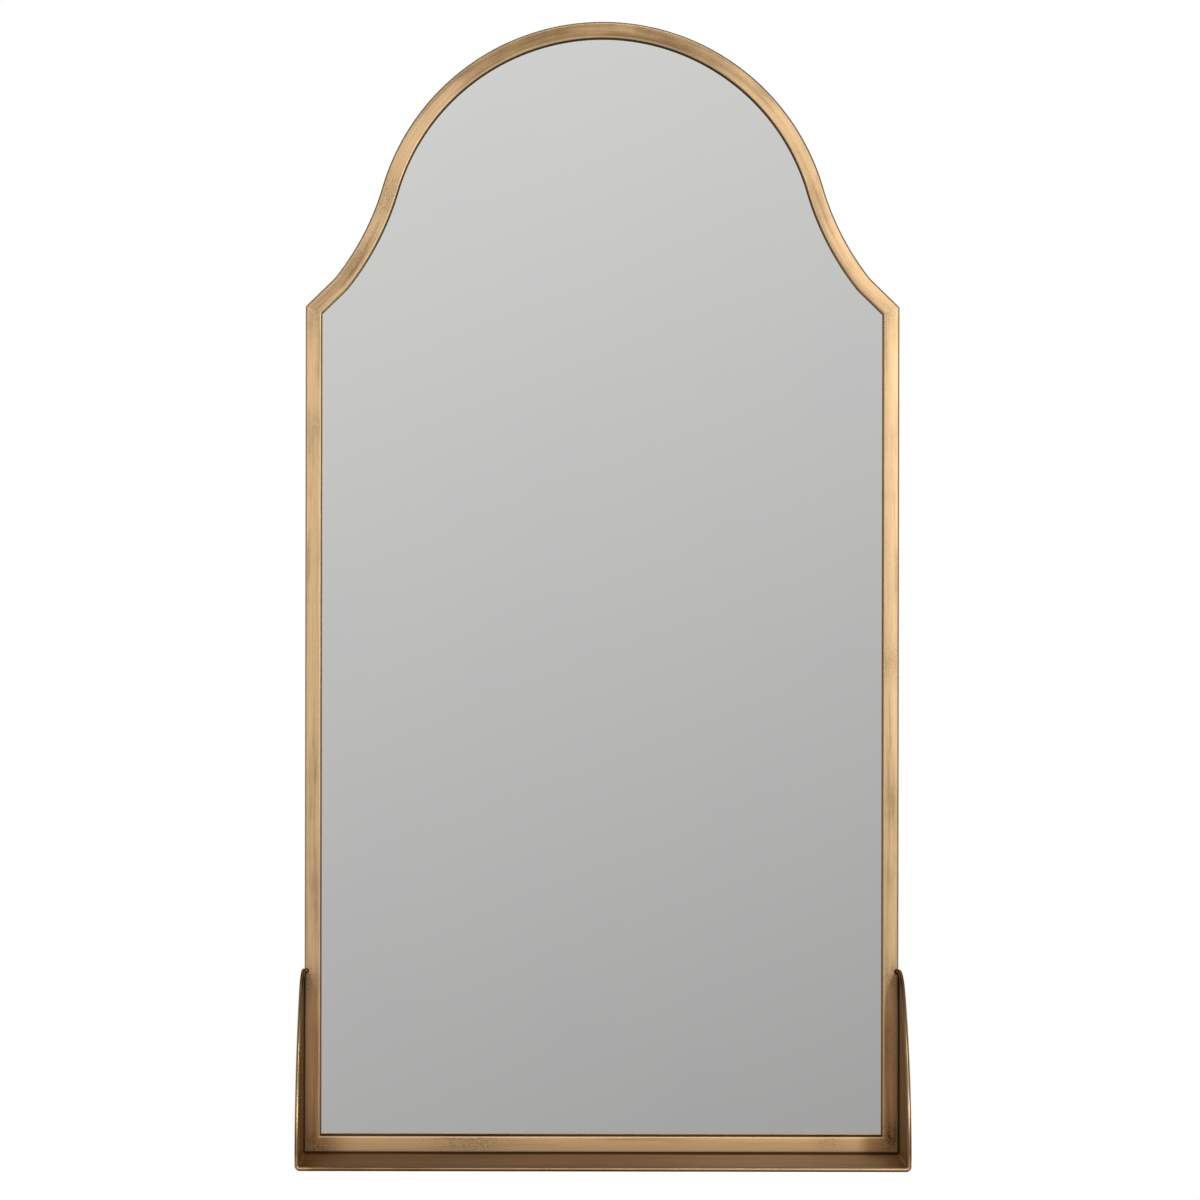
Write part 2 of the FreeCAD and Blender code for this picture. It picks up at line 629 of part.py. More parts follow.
def build():
    nodes = {
        "frame_arch": frame_arch(),
        "frame_bottom_rail": frame_bottom_rail(),
        "mirror_glass": pane(GLASS_Y, GLASS_THICKNESS),
        "foam_sheet": pane(FOAM_Y, FOAM_THICKNESS),
        "backing_board": pane(BOARD_Y, BOARD_THICKNESS),
        "setting_pads": setting_pads(),
        "retaining_tabs": retaining_tabs(),
        "shelf_tray": shelf_tray(),
        "shelf_rim_rod": shelf_rim_rod(),
        "tray_tack_welds": tray_tack_welds(),
    }
    pairs = {
        "frame_stile": frame_stile(),
        "hanger_lug": hanger_lug(),
        "hanger_strap": hanger_strap(),
        "hanger_ring": hanger_ring(),
        "hanger_screws": hanger_screws(),
        "wall_bumper": wall_bumper(),
        "rim_tip_weld": rim_tip_weld(),
    }
    for name, shape in pairs.items():
        nodes[name + "_right"] = shape
        nodes[name + "_left"] = mirrored(shape)
    return nodes


os.makedirs("parts", exist_ok=True)
for node, shape in build().items():
    shape.exportStep("parts/" + node + ".step")
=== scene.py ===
import bmesh
import bpy
import math
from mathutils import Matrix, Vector


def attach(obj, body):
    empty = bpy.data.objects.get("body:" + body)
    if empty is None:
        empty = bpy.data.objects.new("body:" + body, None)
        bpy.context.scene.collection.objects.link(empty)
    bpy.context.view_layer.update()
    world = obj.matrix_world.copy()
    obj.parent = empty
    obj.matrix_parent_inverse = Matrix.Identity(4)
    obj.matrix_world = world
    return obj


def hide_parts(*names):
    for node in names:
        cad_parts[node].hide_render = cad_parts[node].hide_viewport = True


# Arched wall mirror with a folded tray shelf, in metres.
# +Z is up, the mirror faces -Y and the wall is the plane Y = 0.

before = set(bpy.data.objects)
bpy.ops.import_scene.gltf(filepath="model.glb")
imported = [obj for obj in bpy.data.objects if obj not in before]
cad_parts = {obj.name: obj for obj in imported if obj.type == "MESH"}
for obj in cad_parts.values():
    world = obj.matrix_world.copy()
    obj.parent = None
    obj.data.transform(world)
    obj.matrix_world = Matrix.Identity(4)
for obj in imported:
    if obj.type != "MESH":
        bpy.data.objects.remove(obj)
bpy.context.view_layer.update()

SIDES = ((-1, "left"), (1, "right"))
ORIGIN = (0, 0, 0)
QUARTER = math.pi / 2

# Frame outline, seen from the front
HALF_WIDTH = 0.280
CROWN_RADIUS = 0.2165
CROWN_Z = 0.129830
CROWN_END = math.radians(16.3)
REVERSE_RADIUS = 0.252
REVERSE_X = (CROWN_RADIUS + REVERSE_RADIUS) * math.cos(CROWN_END)
REVERSE_Z = CROWN_Z + (CROWN_RADIUS + REVERSE_RADIUS) * math.sin(CROWN_END)
REVERSE_SWEEP = math.acos((REVERSE_X - HALF_WIDTH) / REVERSE_RADIUS) - CROWN_END
BEND_START = CROWN_END + 0.70 * REVERSE_SWEEP
BEND_END = CROWN_END + 0.94 * REVERSE_SWEEP
END_BEND_RADIUS = 0.020  # a tighter bend, then a straight end
BEND_DISTANCE = REVERSE_RADIUS - END_BEND_RADIUS
BEND_X = REVERSE_X - BEND_DISTANCE * math.cos(BEND_START)
BEND_Z = REVERSE_Z - BEND_DISTANCE * math.sin(BEND_START)
CORNER_RADIUS = 0.003
BOTTOM_Z = -0.719670

# Frame section: a folded strip
FACE_Y = -0.025
FRAME_DEPTH = 0.024
REAR_Y = FACE_Y + FRAME_DEPTH
FACE_WIDTH = 0.0155
LIP_DEPTH = 0.007
FRAME_WALL = 0.0015
BEND_RADIUS = 0.0021
SPARE = 0.010  # left over at the strip's ends, and sawn off at the mitres
MITRE_RISE = 0.040
WELD = 1e-6  # points this near are one point

# Tray shelf
SHEET_GAUGE = 0.0012
FOLD_INSIDE = 0.0025
RIM_RADIUS = 0.002
RIM_X = HALF_WIDTH + SHEET_GAUGE / 2
RIM_Y = FACE_Y - 0.100
RIM_Z = BOTTOM_Z - SHEET_GAUGE / 2
RIM_BEND = FOLD_INSIDE + SHEET_GAUGE / 2
SIDE_HEIGHT = 0.171
TIP_Z = BOTTOM_Z + SIDE_HEIGHT
TIP_ARC = 0.055
LOW_Z = RIM_Z + RIM_BEND
SIDE_RISE = TIP_Z - LOW_Z
SIDE_REACH = FACE_Y - RIM_Y
LOW_ARC = (SIDE_REACH ** 2 + SIDE_RISE ** 2 - 2 * SIDE_RISE * TIP_ARC) / (2 * (SIDE_REACH - TIP_ARC))
SIDE_TURN = math.atan2(SIDE_RISE - TIP_ARC, LOW_ARC - SIDE_REACH)
TRAY_REAR_Y = REAR_Y - 0.004

# Welds
TIP_WELD_RADIUS = 0.0026
TIP_WELD_X = HALF_WIDTH - 0.0018
TIP_WELD_LUMPS = 0.00012
TACK_BEADS_HALF = 3  # beads on each side of the middle one
TACK_PITCH = 0.0023
TACK_LENGTH = 0.0016  # these three are half sizes of one bead
TACK_DEPTH = 0.0018
TACK_HEIGHT = 0.0010
TACK_LUMPS = 0.06  # share of the bead's size
TACK_Y = TRAY_REAR_Y + 0.0006
TACK_LIFT = 0.0002  # of a bead's middle from the frame
FLOOR_TACK_STEP = 0.224
SIDE_TACK_Z = BOTTOM_Z + 0.25 * SIDE_HEIGHT
SIDE_TACK_STEP = 0.55 * SIDE_HEIGHT

# Hangers and bumpers on the back
RING_WIRE = 0.0014  # radius
RING_BOW = 0.012
RING_CORNER = 0.0035
RING_RISE = 0.007
RING_LEAN = math.radians(3.7)
PIVOT_X = 0.2585
PIVOT_Y = -0.00352
PIVOT_Z = -0.0176
BUMPER_X = HALF_WIDTH - 0.045
BUMPER_Z = BOTTOM_Z + 0.045
BUMPER_BASE = 0.0065  # radius
BUMPER_TIP = 0.005  # radius
BUMPER_ROUNDING = 0.0012
BUMPER_RIM = 0.0014
DIMPLE_SLOPE = 0.0006
DIMPLE_DEPTH = 0.0004
BOARD_BACK_Y = -0.0085

# Fineness of the curves, in steps
FOLD_STEPS = 8
CORNER_STEPS = 16
REVERSE_STEPS = 36
CROWN_STEPS = 148
WIRE_STEPS = 24
ROD_TIP_STEPS = 24
ROD_SIDE_STEPS = 40
ROD_CORNER_STEPS = 14
TRIM_TIP_CUTS = 14
TRIM_SIDE_CUTS = 18
RING_CORNER_STEPS = 10
RING_BOW_STEPS = 48
BUMPER_STEPS = 48
BUMPER_ROUND_STEPS = 5
WALL_STEPS = 64

# Edges blunter than this shade smooth, in degrees
SHEET_SMOOTH = 35
WELD_SMOOTH = 60
BUMPER_SMOOTH = 45
WALL_SMOOTH = 40

# Camera and light
CAMERA_PLACE = (-0.0586, -3.525, -0.199)
CAMERA_ROLL = math.radians(-0.10)
CAMERA_SENSOR = 36.0
CAMERA_LENS = 111.4
CAMERA_SHIFT = 0.05
FLOOR_Z = -1.62
FLOOR_WIDTH = 9.0
FLOOR_DEPTH = 8.0
FLOOR_Y = -1.2
WALL_RADIUS = 5.0
WALL_HEIGHT = 6.2
WALL_GREY = 0.516  # what the mirror shows of the wall's middle, level with the origin
WALL_GREY_X = -0.039  # change for each metre to the right
WALL_GREY_Z = 0.097  # change for each metre up
WALL_DARKEST = 0.30
WALL_LIGHTEST = 0.66
WALL_ASIDE = (0.85, 1.9)  # where it starts to dim, and where it is dimmed in full
WALL_ABOVE = (1.25, 2.3)
WALL_DIMMED = 0.7
MIRROR_SHARE = 0.905  # of the light that the mirror throws back
SIDE_LAMP_TARGET = (0, 0, -0.2)
TOP_LAMP_TARGET = (0, 0, -0.6)

# Brass tones
BRASS_LOW = (0.67, 0.449, 0.237, 1)
BRASS_HIGH = (0.79, 0.547, 0.303, 1)
# Wear and painted highlight on the face's bends
BRASS_WORN_HIGHLIT = (0.92, 0.680, 0.420, 1)
# Painted highlight on the bends and painted bounce light between the tray's sides
BRASS_BEND_HIGHLIGHT = (0.99, 0.70, 0.40, 1)
# Painted tones between the tray's sides: the stile's for the tray's shade, the rail's for light the tray
# throws back
STILE_SHADE_TONE = (0.83, 0.465, 0.200, 1)
RAIL_BOUNCE_TONE = (0.93, 0.622, 0.322, 1)
# Pale painted glint along the inner side of the rod
PALE_GLINT = (0.74, 0.71, 0.66, 1)
# Aged brown, for streaks of age and for the painted shade over the crown's top
AGED_AND_SHADED = (0.26, 0.158, 0.075, 1)
TRAY_BROWN = (0.40, 0.222, 0.094, 1)
AGED_DARK = (0.24, 0.127, 0.052, 1)
BROWN = (0.060, 0.032, 0.014, 1)
BRASS_EDGE = (0.70, 0.52, 0.34, 1)  # tint of reflections at a grazing angle

# Other tones
SILVER_CLEAN = (0.913, 0.913, 0.904, 1)
SILVER_WIPED = (0.903, 0.904, 0.896, 1)
BOARD_DARK = (0.20, 0.115, 0.058, 1)
BOARD_LIGHT = (0.33, 0.205, 0.110, 1)
BOARD_BLOTCH = (0.25, 0.145, 0.075, 1)
ZINC_BRIGHT = (0.50, 0.51, 0.53, 1)
ZINC_DULL = (0.38, 0.38, 0.38, 1)
RUBBER_BLACK = (0.020, 0.020, 0.021, 1)
RUBBER_DUSTY = (0.055, 0.053, 0.050, 1)
FOAM_SHADED = (0.74, 0.74, 0.72, 1)
FOAM_WHITE = (0.84, 0.84, 0.83, 1)
FLOOR_GREY = (0.78, 0.78, 0.77, 1)
FLOOR_PALE = (0.82, 0.82, 0.81, 1)
SOFT_GREY = (0.65, 0.65, 0.65, 1)
WHITE = (1.0, 1.0, 1.0, 1)

# Darker smudges seen from the front: (x, z, radius, strength). Those on the shoulders and feet are
# patina; those below the tray's tips, and the lowest on the right stile, are painted shadow of the
# tray's sides.
SHOULDER_MARKS = [(side * 0.272, 0.068, 0.035, 0.25) for side, name in SIDES]
# Painted shadow of the tray's sides below their tips
TIP_SHADOW_MARKS = [(side * 0.275, TIP_Z - 0.010, 0.030, 0.4) for side, name in SIDES]
FOOT_MARKS = [
    (-0.274, BOTTOM_Z + 0.006, 0.045, 0.65),
    (0.276, BOTTOM_Z + 0.014, 0.032, 0.6),
]
CROWN_MARKS = [
    (0.115, 0.300, 0.075, 0.25),
    (0.175, 0.225, 0.050, 0.15),
    (-0.150, 0.262, 0.040, 0.15),
    (-0.203, 0.178, 0.060, 0.46),
    (-0.232, 0.128, 0.045, 0.3),
]
STILE_MARKS = [
    (-0.272, -0.035, 0.030, 0.3),
    (0.268, -0.257, 0.035, 0.4),
    (0.272, -0.385, 0.040, 0.15),
    # Painted shade deepening the tray side's shadow low on the right stile
    (0.272, BOTTOM_Z + 0.080, 0.090, 0.3),
    (0.272, -0.180, 0.080, 0.2),
]
RAIL_MARKS = [
    (-0.12, BOTTOM_Z + 0.010, 0.08, 0.5),
    (0.215, BOTTOM_Z + 0.014, 0.025, 0.45),
]

# Lighter patches on the tray's floor seen from above: (x, y, radius, strength)
TRAY_MARKS = [
    (0.16, FACE_Y - 0.06, 0.20, 0.95),
    (-0.06, FACE_Y - 0.06, 0.20, 0.3),
]

# Where the frame's brass changes: each pair is where a change starts and where it is full
TRAY_SHADE_Z = (TIP_Z + 0.010, TIP_Z - 0.050)  # painted shade of the tray and light it throws back, down between the tray's sides
# Painted shade over the crown's top, from the first height to the second
CROWN_SHADE_Z = (0.23, 0.345)
UPRIGHT_X = (0.235, 0.268)  # from the rail to the stiles
WORN_HIGHLIT_OFF = (0.0052, 0.0066)  # from the middle of the face to its bends, which show wear and a painted highlight
WORN_HIGHLIT_Y = (FACE_Y + 0.0045, FACE_Y + 0.0015)
# Painted highlight on the bends and painted bounce light, between the tray's sides
BRIGHT_INNER = (0.004, 0.003)
BRIGHT_OUTER = (0.0001, 0.0006)
BOUNCE_INSET = (0.013, 0.001)
# Painted shade along the inner lip and the outer rim
LIP_INSET = (FACE_WIDTH - 0.0007, FACE_WIDTH - 0.0002)
CHANGE_X = (-0.1, 0.1)  # from the left side's looks to the right side's
RIM_INSET = (0.0012, 0.0005)
# Painted shade: a thinner dark rim between the tray's sides
TRAY_SHADE_RIM_INSET = (0.0004, 0.0001)
ARCH_LIP_RISE = 0.10  # above the shoulders the painted shade on lips and rims grows darker over this height
DARK_LIP = 0.85
STILE_LIPS = (0.1, 0.3)

# Where the tray's brass changes
TRAY_INSIDE_X = (HALF_WIDTH + 0.0009, HALF_WIDTH + 0.0003)
TRAY_INSIDE_Z = (BOTTOM_Z - 0.0009, BOTTOM_Z - 0.0003)
# Painted shade on the sheet where it meets the frame
TRAY_FRAME_SHADE_Y = (FACE_Y - 0.018, FACE_Y - 0.009)
TRAY_FRONT_Y = (FACE_Y - 0.045, RIM_Y)

# Where the rod's brass changes; the last five are measured from the rod's own line
# Painted highlights half-way up the rod's sides
ROD_GLINT_FROM_Z = (-0.695, -0.660)
ROD_GLINT_TO_Z = (-0.555, -0.595)
ROD_FRONT_X = (-0.25, 0.30)
ROD_TIP_Z = (TIP_Z - 0.018, TIP_Z - 0.004)
ROD_FRONT_RISE = (0.010, 0.004)
ROD_CORNER_REACH = (0.016, 0.007)
ROD_GLINT_INNER_X = (-0.0011, -0.0017)
ROD_UNDER_Z = (0.0003, -0.0007)
ROD_OUTER_X = (0.0003, 0.0013)

BRUSH_RANGE = (0.3, 0.7)  # of the noise that draws the brushing


# Shaping by hand

def pick(kind, test):
    """Selects those vertices, edges or faces of the open mesh whose middle passes a test."""
    bpy.ops.mesh.select_mode(type=kind)
    bpy.ops.mesh.select_all(action="DESELECT")
    open_mesh = bmesh.from_edit_mesh(bpy.context.object.data)
    if kind == "VERT":
        found = [(v, v.co) for v in open_mesh.verts]
    elif kind == "EDGE":
        found = [(e, (e.verts[0].co + e.verts[1].co) / 2) for e in open_mesh.edges]
    else:
        found = [(f, f.calc_center_median()) for f in open_mesh.faces]
    for element, middle in found:
        element.select_set(bool(test(middle)))
    open_mesh.select_flush_mode()
    bmesh.update_edit_mesh(bpy.context.object.data)


def pick_all():
    bpy.ops.mesh.select_mode(type="VERT")
    bpy.ops.mesh.select_all(action="SELECT")


def near(value, place, reach=1e-5):
    return abs(value - place) < reach


def deselect():
    bpy.ops.object.select_all(action="DESELECT")


def open_piece(name):
    """Names the primitive just added and opens it for shaping."""
    piece = bpy.context.object
    piece.name = name
    piece.data.name = name
    bpy.ops.object.mode_set(mode="EDIT")
    pick_all()
    return piece


def open_square(name):
    """Opens a new piece with a level square in the middle, one metre wide."""
    deselect()
    bpy.ops.mesh.primitive_plane_add(size=1)
    return open_piece(name)


def open_point(name):
    """Opens a new piece with a single point in the middle."""
    piece = open_square(name)
    bpy.ops.mesh.merge(type="CENTER")
    return piece


def move(x, y, z):
    bpy.ops.transform.translate(value=(x, y, z))


def turn(angle, axis, centre=ORIGIN):
    bpy.ops.transform.rotate(value=angle, orient_axis=axis, center_override=centre)


def stretch(x, y, z):
    bpy.ops.transform.resize(value=(x, y, z), center_override=ORIGIN)


def draw_out(x, y, z):
    bpy.ops.mesh.extrude_region_move(TRANSFORM_OT_translate={"value": (x, y, z)})


def copy_on(x, y, z):
    bpy.ops.mesh.duplicate_move(TRANSFORM_OT_translate={"value": (x, y, z)})


def swing(steps, angle, centre, axis):
    """Spins what is selected, and leaves the far end selected."""
    bpy.ops.mesh.spin(steps=steps, angle=angle, center=centre, axis=axis)


def drop_edges(test):
    """Deletes the edges whose middle passes a test."""
    pick("EDGE", test)
    bpy.ops.mesh.delete(type="EDGE")


def turn_outwards():
    """Turns all faces of the open mesh outwards."""
    pick_all()
    bpy.ops.mesh.normals_make_consistent(inside=False)


def drawn_outline(path):
    """Opens a cutting block with an outline seen from the front, drawn behind the frame."""
    block = open_point("cutting_block")
    move(path[0][0], REAR_Y + SPARE, path[0][1])
    for last, new in zip(path, path[1:]):
        draw_out(new[0] - last[0], 0, new[1] - last[1])
    return block


def close_block():
    """Joins the outline's ends, fills it and draws it out through the frame."""
    pick_all()
    bpy.ops.mesh.remove_doubles(threshold=WELD)
    bpy.ops.mesh.edge_face_add()
    draw_out(0, -FRAME_DEPTH - 2 * SPARE, 0)
    turn_outwards()
    bpy.ops.object.mode_set(mode="OBJECT")
    deselect()


def relief_block(x, z, start, end):
    """Block over a corner seen from the front, hollowed to the corner's rounding."""
    def spot(radius, angle):
        return (x + radius * math.cos(angle), z + radius * math.sin(angle))

    far = CORNER_RADIUS + SPARE
    middle = (start + end) / 2
    path = [spot(CORNER_RADIUS, start), spot(far, start), spot(far / math.cos(end - middle), middle)]
    path += [spot(far, end), spot(CORNER_RADIUS, end)]
    block = drawn_outline(path)
    swing(CORNER_STEPS, end - start, (x, 0, z), (0, -1, 0))
    close_block()
    return block


def mitre_block(inner, outer, rise):
    """Block on one side of the mitre line from inner to outer corner, as far as rise."""
    long_x = outer[0] - inner[0]
    long_z = outer[1] - inner[1]
    start = (inner[0] - long_x, inner[1] - long_z)
    end = (outer[0] + long_x, outer[1] + long_z)
    path = [start, end, (end[0], end[1] + rise), (start[0], start[1] + rise), start]
    block = drawn_outline(path)
    close_block()
    return block


def cut_away(piece, block):
    """Takes a block away from a piece, and clears the block."""
    bpy.context.view_layer.objects.active = piece
    cut = piece.modifiers.new("cut", "BOOLEAN")
    cut.operation = "DIFFERENCE"
    cut.solver = "EXACT"
    cut.object = block
    bpy.ops.object.modifier_apply(modifier=cut.name)
    bpy.data.meshes.remove(block.data)


def face_forward():
    """Turns the open strip's faces outwards, with its front towards -Y."""
    turn_outwards()
    open_mesh = bmesh.from_edit_mesh(bpy.context.object.data)
    front = min(open_mesh.faces, key=lambda f: f.normal.y)
    back = max(open_mesh.faces, key=lambda f: f.normal.y)
    if abs(back.normal.y) > abs(front.normal.y):
        bpy.ops.mesh.flip_normals()


def thicken(piece, gauge):
    """Gives an open sheet its gauge, on the back of its faces."""
    bpy.ops.object.mode_set(mode="OBJECT")
    wall = piece.modifiers.new("gauge", "SOLIDIFY")
    wall.thickness = gauge
    wall.offset = -1
    wall.use_even_offset = True
    bpy.ops.object.modifier_apply(modifier=wall.name)


def close_piece(piece, node, body, finish, smooth=SHEET_SMOOTH):
    """Ends a piece: smooth shading, finish, and its place in the model."""
    if bpy.context.mode != "OBJECT":
        bpy.ops.object.mode_set(mode="OBJECT")
    deselect()
    piece.select_set(True)
    bpy.context.view_layer.objects.active = piece
    bpy.ops.object.shade_smooth_by_angle(angle=math.radians(smooth))
    piece.data.materials.clear()
    piece.data.materials.append(finish)
    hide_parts(node)
    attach(piece, body)
    deselect()


# Frame members

def straight_run(inset):
    """Length of the arch's straight end, moved inwards by inset, up to the frame's side."""
    start_x = BEND_X - (END_BEND_RADIUS + inset) * math.cos(BEND_END)
    return (HALF_WIDTH - inset - start_x) / math.sin(BEND_END)


def shoulder_z(inset):
    """Height where the arch meets the frame's side, both moved inwards by inset."""
    start_z = BEND_Z - (END_BEND_RADIUS + inset) * math.sin(BEND_END)
    return start_z - straight_run(inset) * math.cos(BEND_END)


def strip_section(name, outer_x, inward):
    """Open section of the folded strip, lying level, with its outer wall at outer_x."""
    piece = open_square(name)
    stretch(FACE_WIDTH, FRAME_DEPTH, 1)
    move(outer_x + inward * FACE_WIDTH / 2, (FACE_Y + REAR_Y) / 2, 0)
    bpy.ops.mesh.delete(type="ONLY_FACE")
    drop_edges(lambda p: near(p.y, REAR_Y))
    lip_x = outer_x + inward * FACE_WIDTH
    pick("VERT", lambda p: near(p.x, lip_x) and near(p.y, REAR_Y))
    move(0, LIP_DEPTH - FRAME_DEPTH, 0)
    pick("VERT", lambda p: near(p.y, FACE_Y))
    bpy.ops.mesh.bevel(offset=BEND_RADIUS, segments=FOLD_STEPS, affect="VERTICES")
    pick_all()
    return piece


def cut_shoulder(piece, side, rise):
    """Mitre and rounded corner at a shoulder; what lies on the rise side of the mitre goes."""
    inner = (side * (HALF_WIDTH - FACE_WIDTH), shoulder_z(FACE_WIDTH))
    outer = (side * HALF_WIDTH, shoulder_z(0))
    cut_away(piece, mitre_block(inner, outer, rise))
    start = 0 if side > 0 else math.pi - BEND_END
    centre_x = side * (HALF_WIDTH - CORNER_RADIUS)
    cut_away(piece, relief_block(centre_x, shoulder_z(CORNER_RADIUS), start, start + BEND_END))


def cut_foot(piece, side, rise):
    """Mitre and rounded corner at a lower corner."""
    inner = (side * (HALF_WIDTH - FACE_WIDTH), BOTTOM_Z + FACE_WIDTH)
    outer = (side * HALF_WIDTH, BOTTOM_Z)
    cut_away(piece, mitre_block(inner, outer, rise))
    start = -QUARTER if side > 0 else math.pi
    centre_x = side * (HALF_WIDTH - CORNER_RADIUS)
    cut_away(piece, relief_block(centre_x, BOTTOM_Z + CORNER_RADIUS, start, start + QUARTER))


def arch_strip(finish):
    """Crown and both reverse curves with their straight ends, bent from one strip."""
    piece = strip_section("arch_strip", END_BEND_RADIUS - BEND_X, 1)
    move(0, 0, BEND_Z)
    left_bend = (-BEND_X, 0, BEND_Z)
    right_bend = (BEND_X, 0, BEND_Z)
    left = (-REVERSE_X, 0, REVERSE_Z)
    right = (REVERSE_X, 0, REVERSE_Z)
    crown = (0, 0, CROWN_Z)
    length = max(straight_run(0), straight_run(FACE_WIDTH)) + SPARE
    reach_x = length * math.sin(BEND_END)
    reach_z = length * math.cos(BEND_END)
    turn(-BEND_END, "Y", left_bend)
    move(-reach_x, 0, -reach_z)
    draw_out(reach_x, 0, reach_z)
    swing(FOLD_STEPS, BEND_END - BEND_START, left_bend, (0, 1, 0))
    swing(REVERSE_STEPS, BEND_START - CROWN_END, left, (0, 1, 0))
    swing(CROWN_STEPS, math.pi - 2 * CROWN_END, crown, (0, -1, 0))
    swing(REVERSE_STEPS, BEND_START - CROWN_END, right, (0, 1, 0))
    swing(FOLD_STEPS, BEND_END - BEND_START, right_bend, (0, 1, 0))
    draw_out(reach_x, 0, -reach_z)
    face_forward()
    thicken(piece, FRAME_WALL)
    for side, name in SIDES:
        cut_shoulder(piece, side, -MITRE_RISE)
    close_piece(piece, "frame_arch", "mirror", finish)


def stile_strip(side, name, finish):
    piece = strip_section("stile_strip_" + name, side * HALF_WIDTH, -side)
    move(0, 0, BOTTOM_Z)
    draw_out(0, 0, shoulder_z(0) + SPARE - BOTTOM_Z)
    face_forward()
    thicken(piece, FRAME_WALL)
    cut_shoulder(piece, side, MITRE_RISE)
    cut_foot(piece, side, -MITRE_RISE)
    close_piece(piece, "frame_stile_" + name, "mirror", finish)


def rail_strip(finish):
    piece = strip_section("rail_strip", 0, 1)
    turn(QUARTER, "Y")
    move(-HALF_WIDTH, 0, BOTTOM_Z)
    draw_out(2 * HALF_WIDTH, 0, 0)
    face_forward()
    thicken(piece, FRAME_WALL)
    for side, name in SIDES:
        cut_foot(piece, side, MITRE_RISE)
    close_piece(piece, "frame_bottom_rail", "mirror", finish)


# Tray shelf

def tray_sheet(finish):
    """Floor and both sides, folded from one sheet, trimmed along the sides' curve."""
    piece = open_square("tray_sheet")
    turn(QUARTER, "X")
    stretch(2 * HALF_WIDTH, 1, SIDE_HEIGHT)
    front_y = RIM_Y + RIM_RADIUS
    move(0, front_y, BOTTOM_Z + SIDE_HEIGHT / 2)
    bpy.ops.mesh.delete(type="ONLY_FACE")
    drop_edges(lambda p: near(p.z, TIP_Z))
    pick("VERT", lambda p: near(p.z, BOTTOM_Z))
    bpy.ops.mesh.bevel(offset=FOLD_INSIDE, segments=FOLD_STEPS, affect="VERTICES")
    pick_all()
    draw_out(0, TRAY_REAR_Y - front_y, 0)
    trim_side(TRAY_REAR_Y, TIP_Z - TIP_ARC, TIP_ARC, QUARTER, QUARTER, 1)
    trim_side(FACE_Y, TIP_Z - TIP_ARC, TIP_ARC, SIDE_TURN, QUARTER, TRIM_TIP_CUTS)
    trim_side(RIM_Y + LOW_ARC, LOW_Z, LOW_ARC, 0, SIDE_TURN, TRIM_SIDE_CUTS)
    turn_outwards()
    open_mesh = bmesh.from_edit_mesh(piece.data)
    floor = max(open_mesh.faces, key=lambda f: f.calc_area())
    if floor.normal.z < 0:
        bpy.ops.mesh.flip_normals()
    thicken(piece, SHEET_GAUGE)
    close_piece(piece, "shelf_tray", "mirror", finish)


def trim_side(y, z, radius, start, end, cuts):
    """Trims the sheet to an arc seen from the side, by straight cuts just inside the rod."""
    edge = radius - RIM_RADIUS
    for step in range(cuts):
        angle = start + (end - start) * (step + 0.5) / cuts
        outwards = (0, -math.cos(angle), math.sin(angle))
        place = (0, y + edge * outwards[1], z + edge * outwards[2])
        pick_all()
        bpy.ops.mesh.bisect(plane_co=place, plane_no=outwards, clear_outer=True)


def wire_circle(name, radius, axis):
    """Opens a piece with a circle that a round wire starts from, turned about an axis."""
    deselect()
    bpy.ops.mesh.primitive_circle_add(vertices=WIRE_STEPS, radius=radius, fill_type="NOTHING")
    piece = open_piece(name)
    turn(QUARTER, axis)
    return piece


def rim_rod(finish):
    """One rod bent along the tray's left side, front and right side."""
    piece = wire_circle("rim_rod", RIM_RADIUS, "X")
    move(-RIM_X, FACE_Y, TIP_Z)
    corner_x = RIM_X - RIM_BEND
    upper = (FACE_Y, TIP_Z - TIP_ARC)
    lower = (RIM_Y + LOW_ARC, LOW_Z)
    swing(ROD_TIP_STEPS, QUARTER - SIDE_TURN, (-RIM_X, *upper), (-1, 0, 0))
    swing(ROD_SIDE_STEPS, SIDE_TURN, (-RIM_X, *lower), (-1, 0, 0))
    swing(ROD_CORNER_STEPS, QUARTER, (-corner_x, RIM_Y, LOW_Z), (0, 1, 0))
    draw_out(2 * corner_x, 0, 0)
    swing(ROD_CORNER_STEPS, QUARTER, (corner_x, RIM_Y, LOW_Z), (0, 1, 0))
    swing(ROD_SIDE_STEPS, SIDE_TURN, (RIM_X, *lower), (1, 0, 0))
    swing(ROD_TIP_STEPS, QUARTER - SIDE_TURN, (RIM_X, *upper), (1, 0, 0))
    pick_all()
    bpy.ops.mesh.fill_holes(sides=0)
    bpy.ops.mesh.normals_make_consistent(inside=False)
    close_piece(piece, "shelf_rim_rod", "mirror", finish)


def tip_weld(side, name, finish):
    """Lumpy bead that joins the rod's end to the frame's face."""
    deselect()
    bpy.ops.mesh.primitive_ico_sphere_add(subdivisions=4, radius=TIP_WELD_RADIUS)
    piece = open_piece("tip_weld_" + name)
    bpy.ops.transform.vertex_random(offset=TIP_WELD_LUMPS, seed=5 + side)
    bpy.ops.mesh.vertices_smooth(factor=0.5, repeat=2)
    move(side * TIP_WELD_X, FACE_Y, TIP_Z)
    bpy.ops.mesh.bisect(plane_co=(0, FACE_Y, 0), plane_no=(0, 1, 0), use_fill=True, clear_outer=True)
    close_piece(piece, "rim_tip_weld_" + name, "mirror", finish, WELD_SMOOTH)


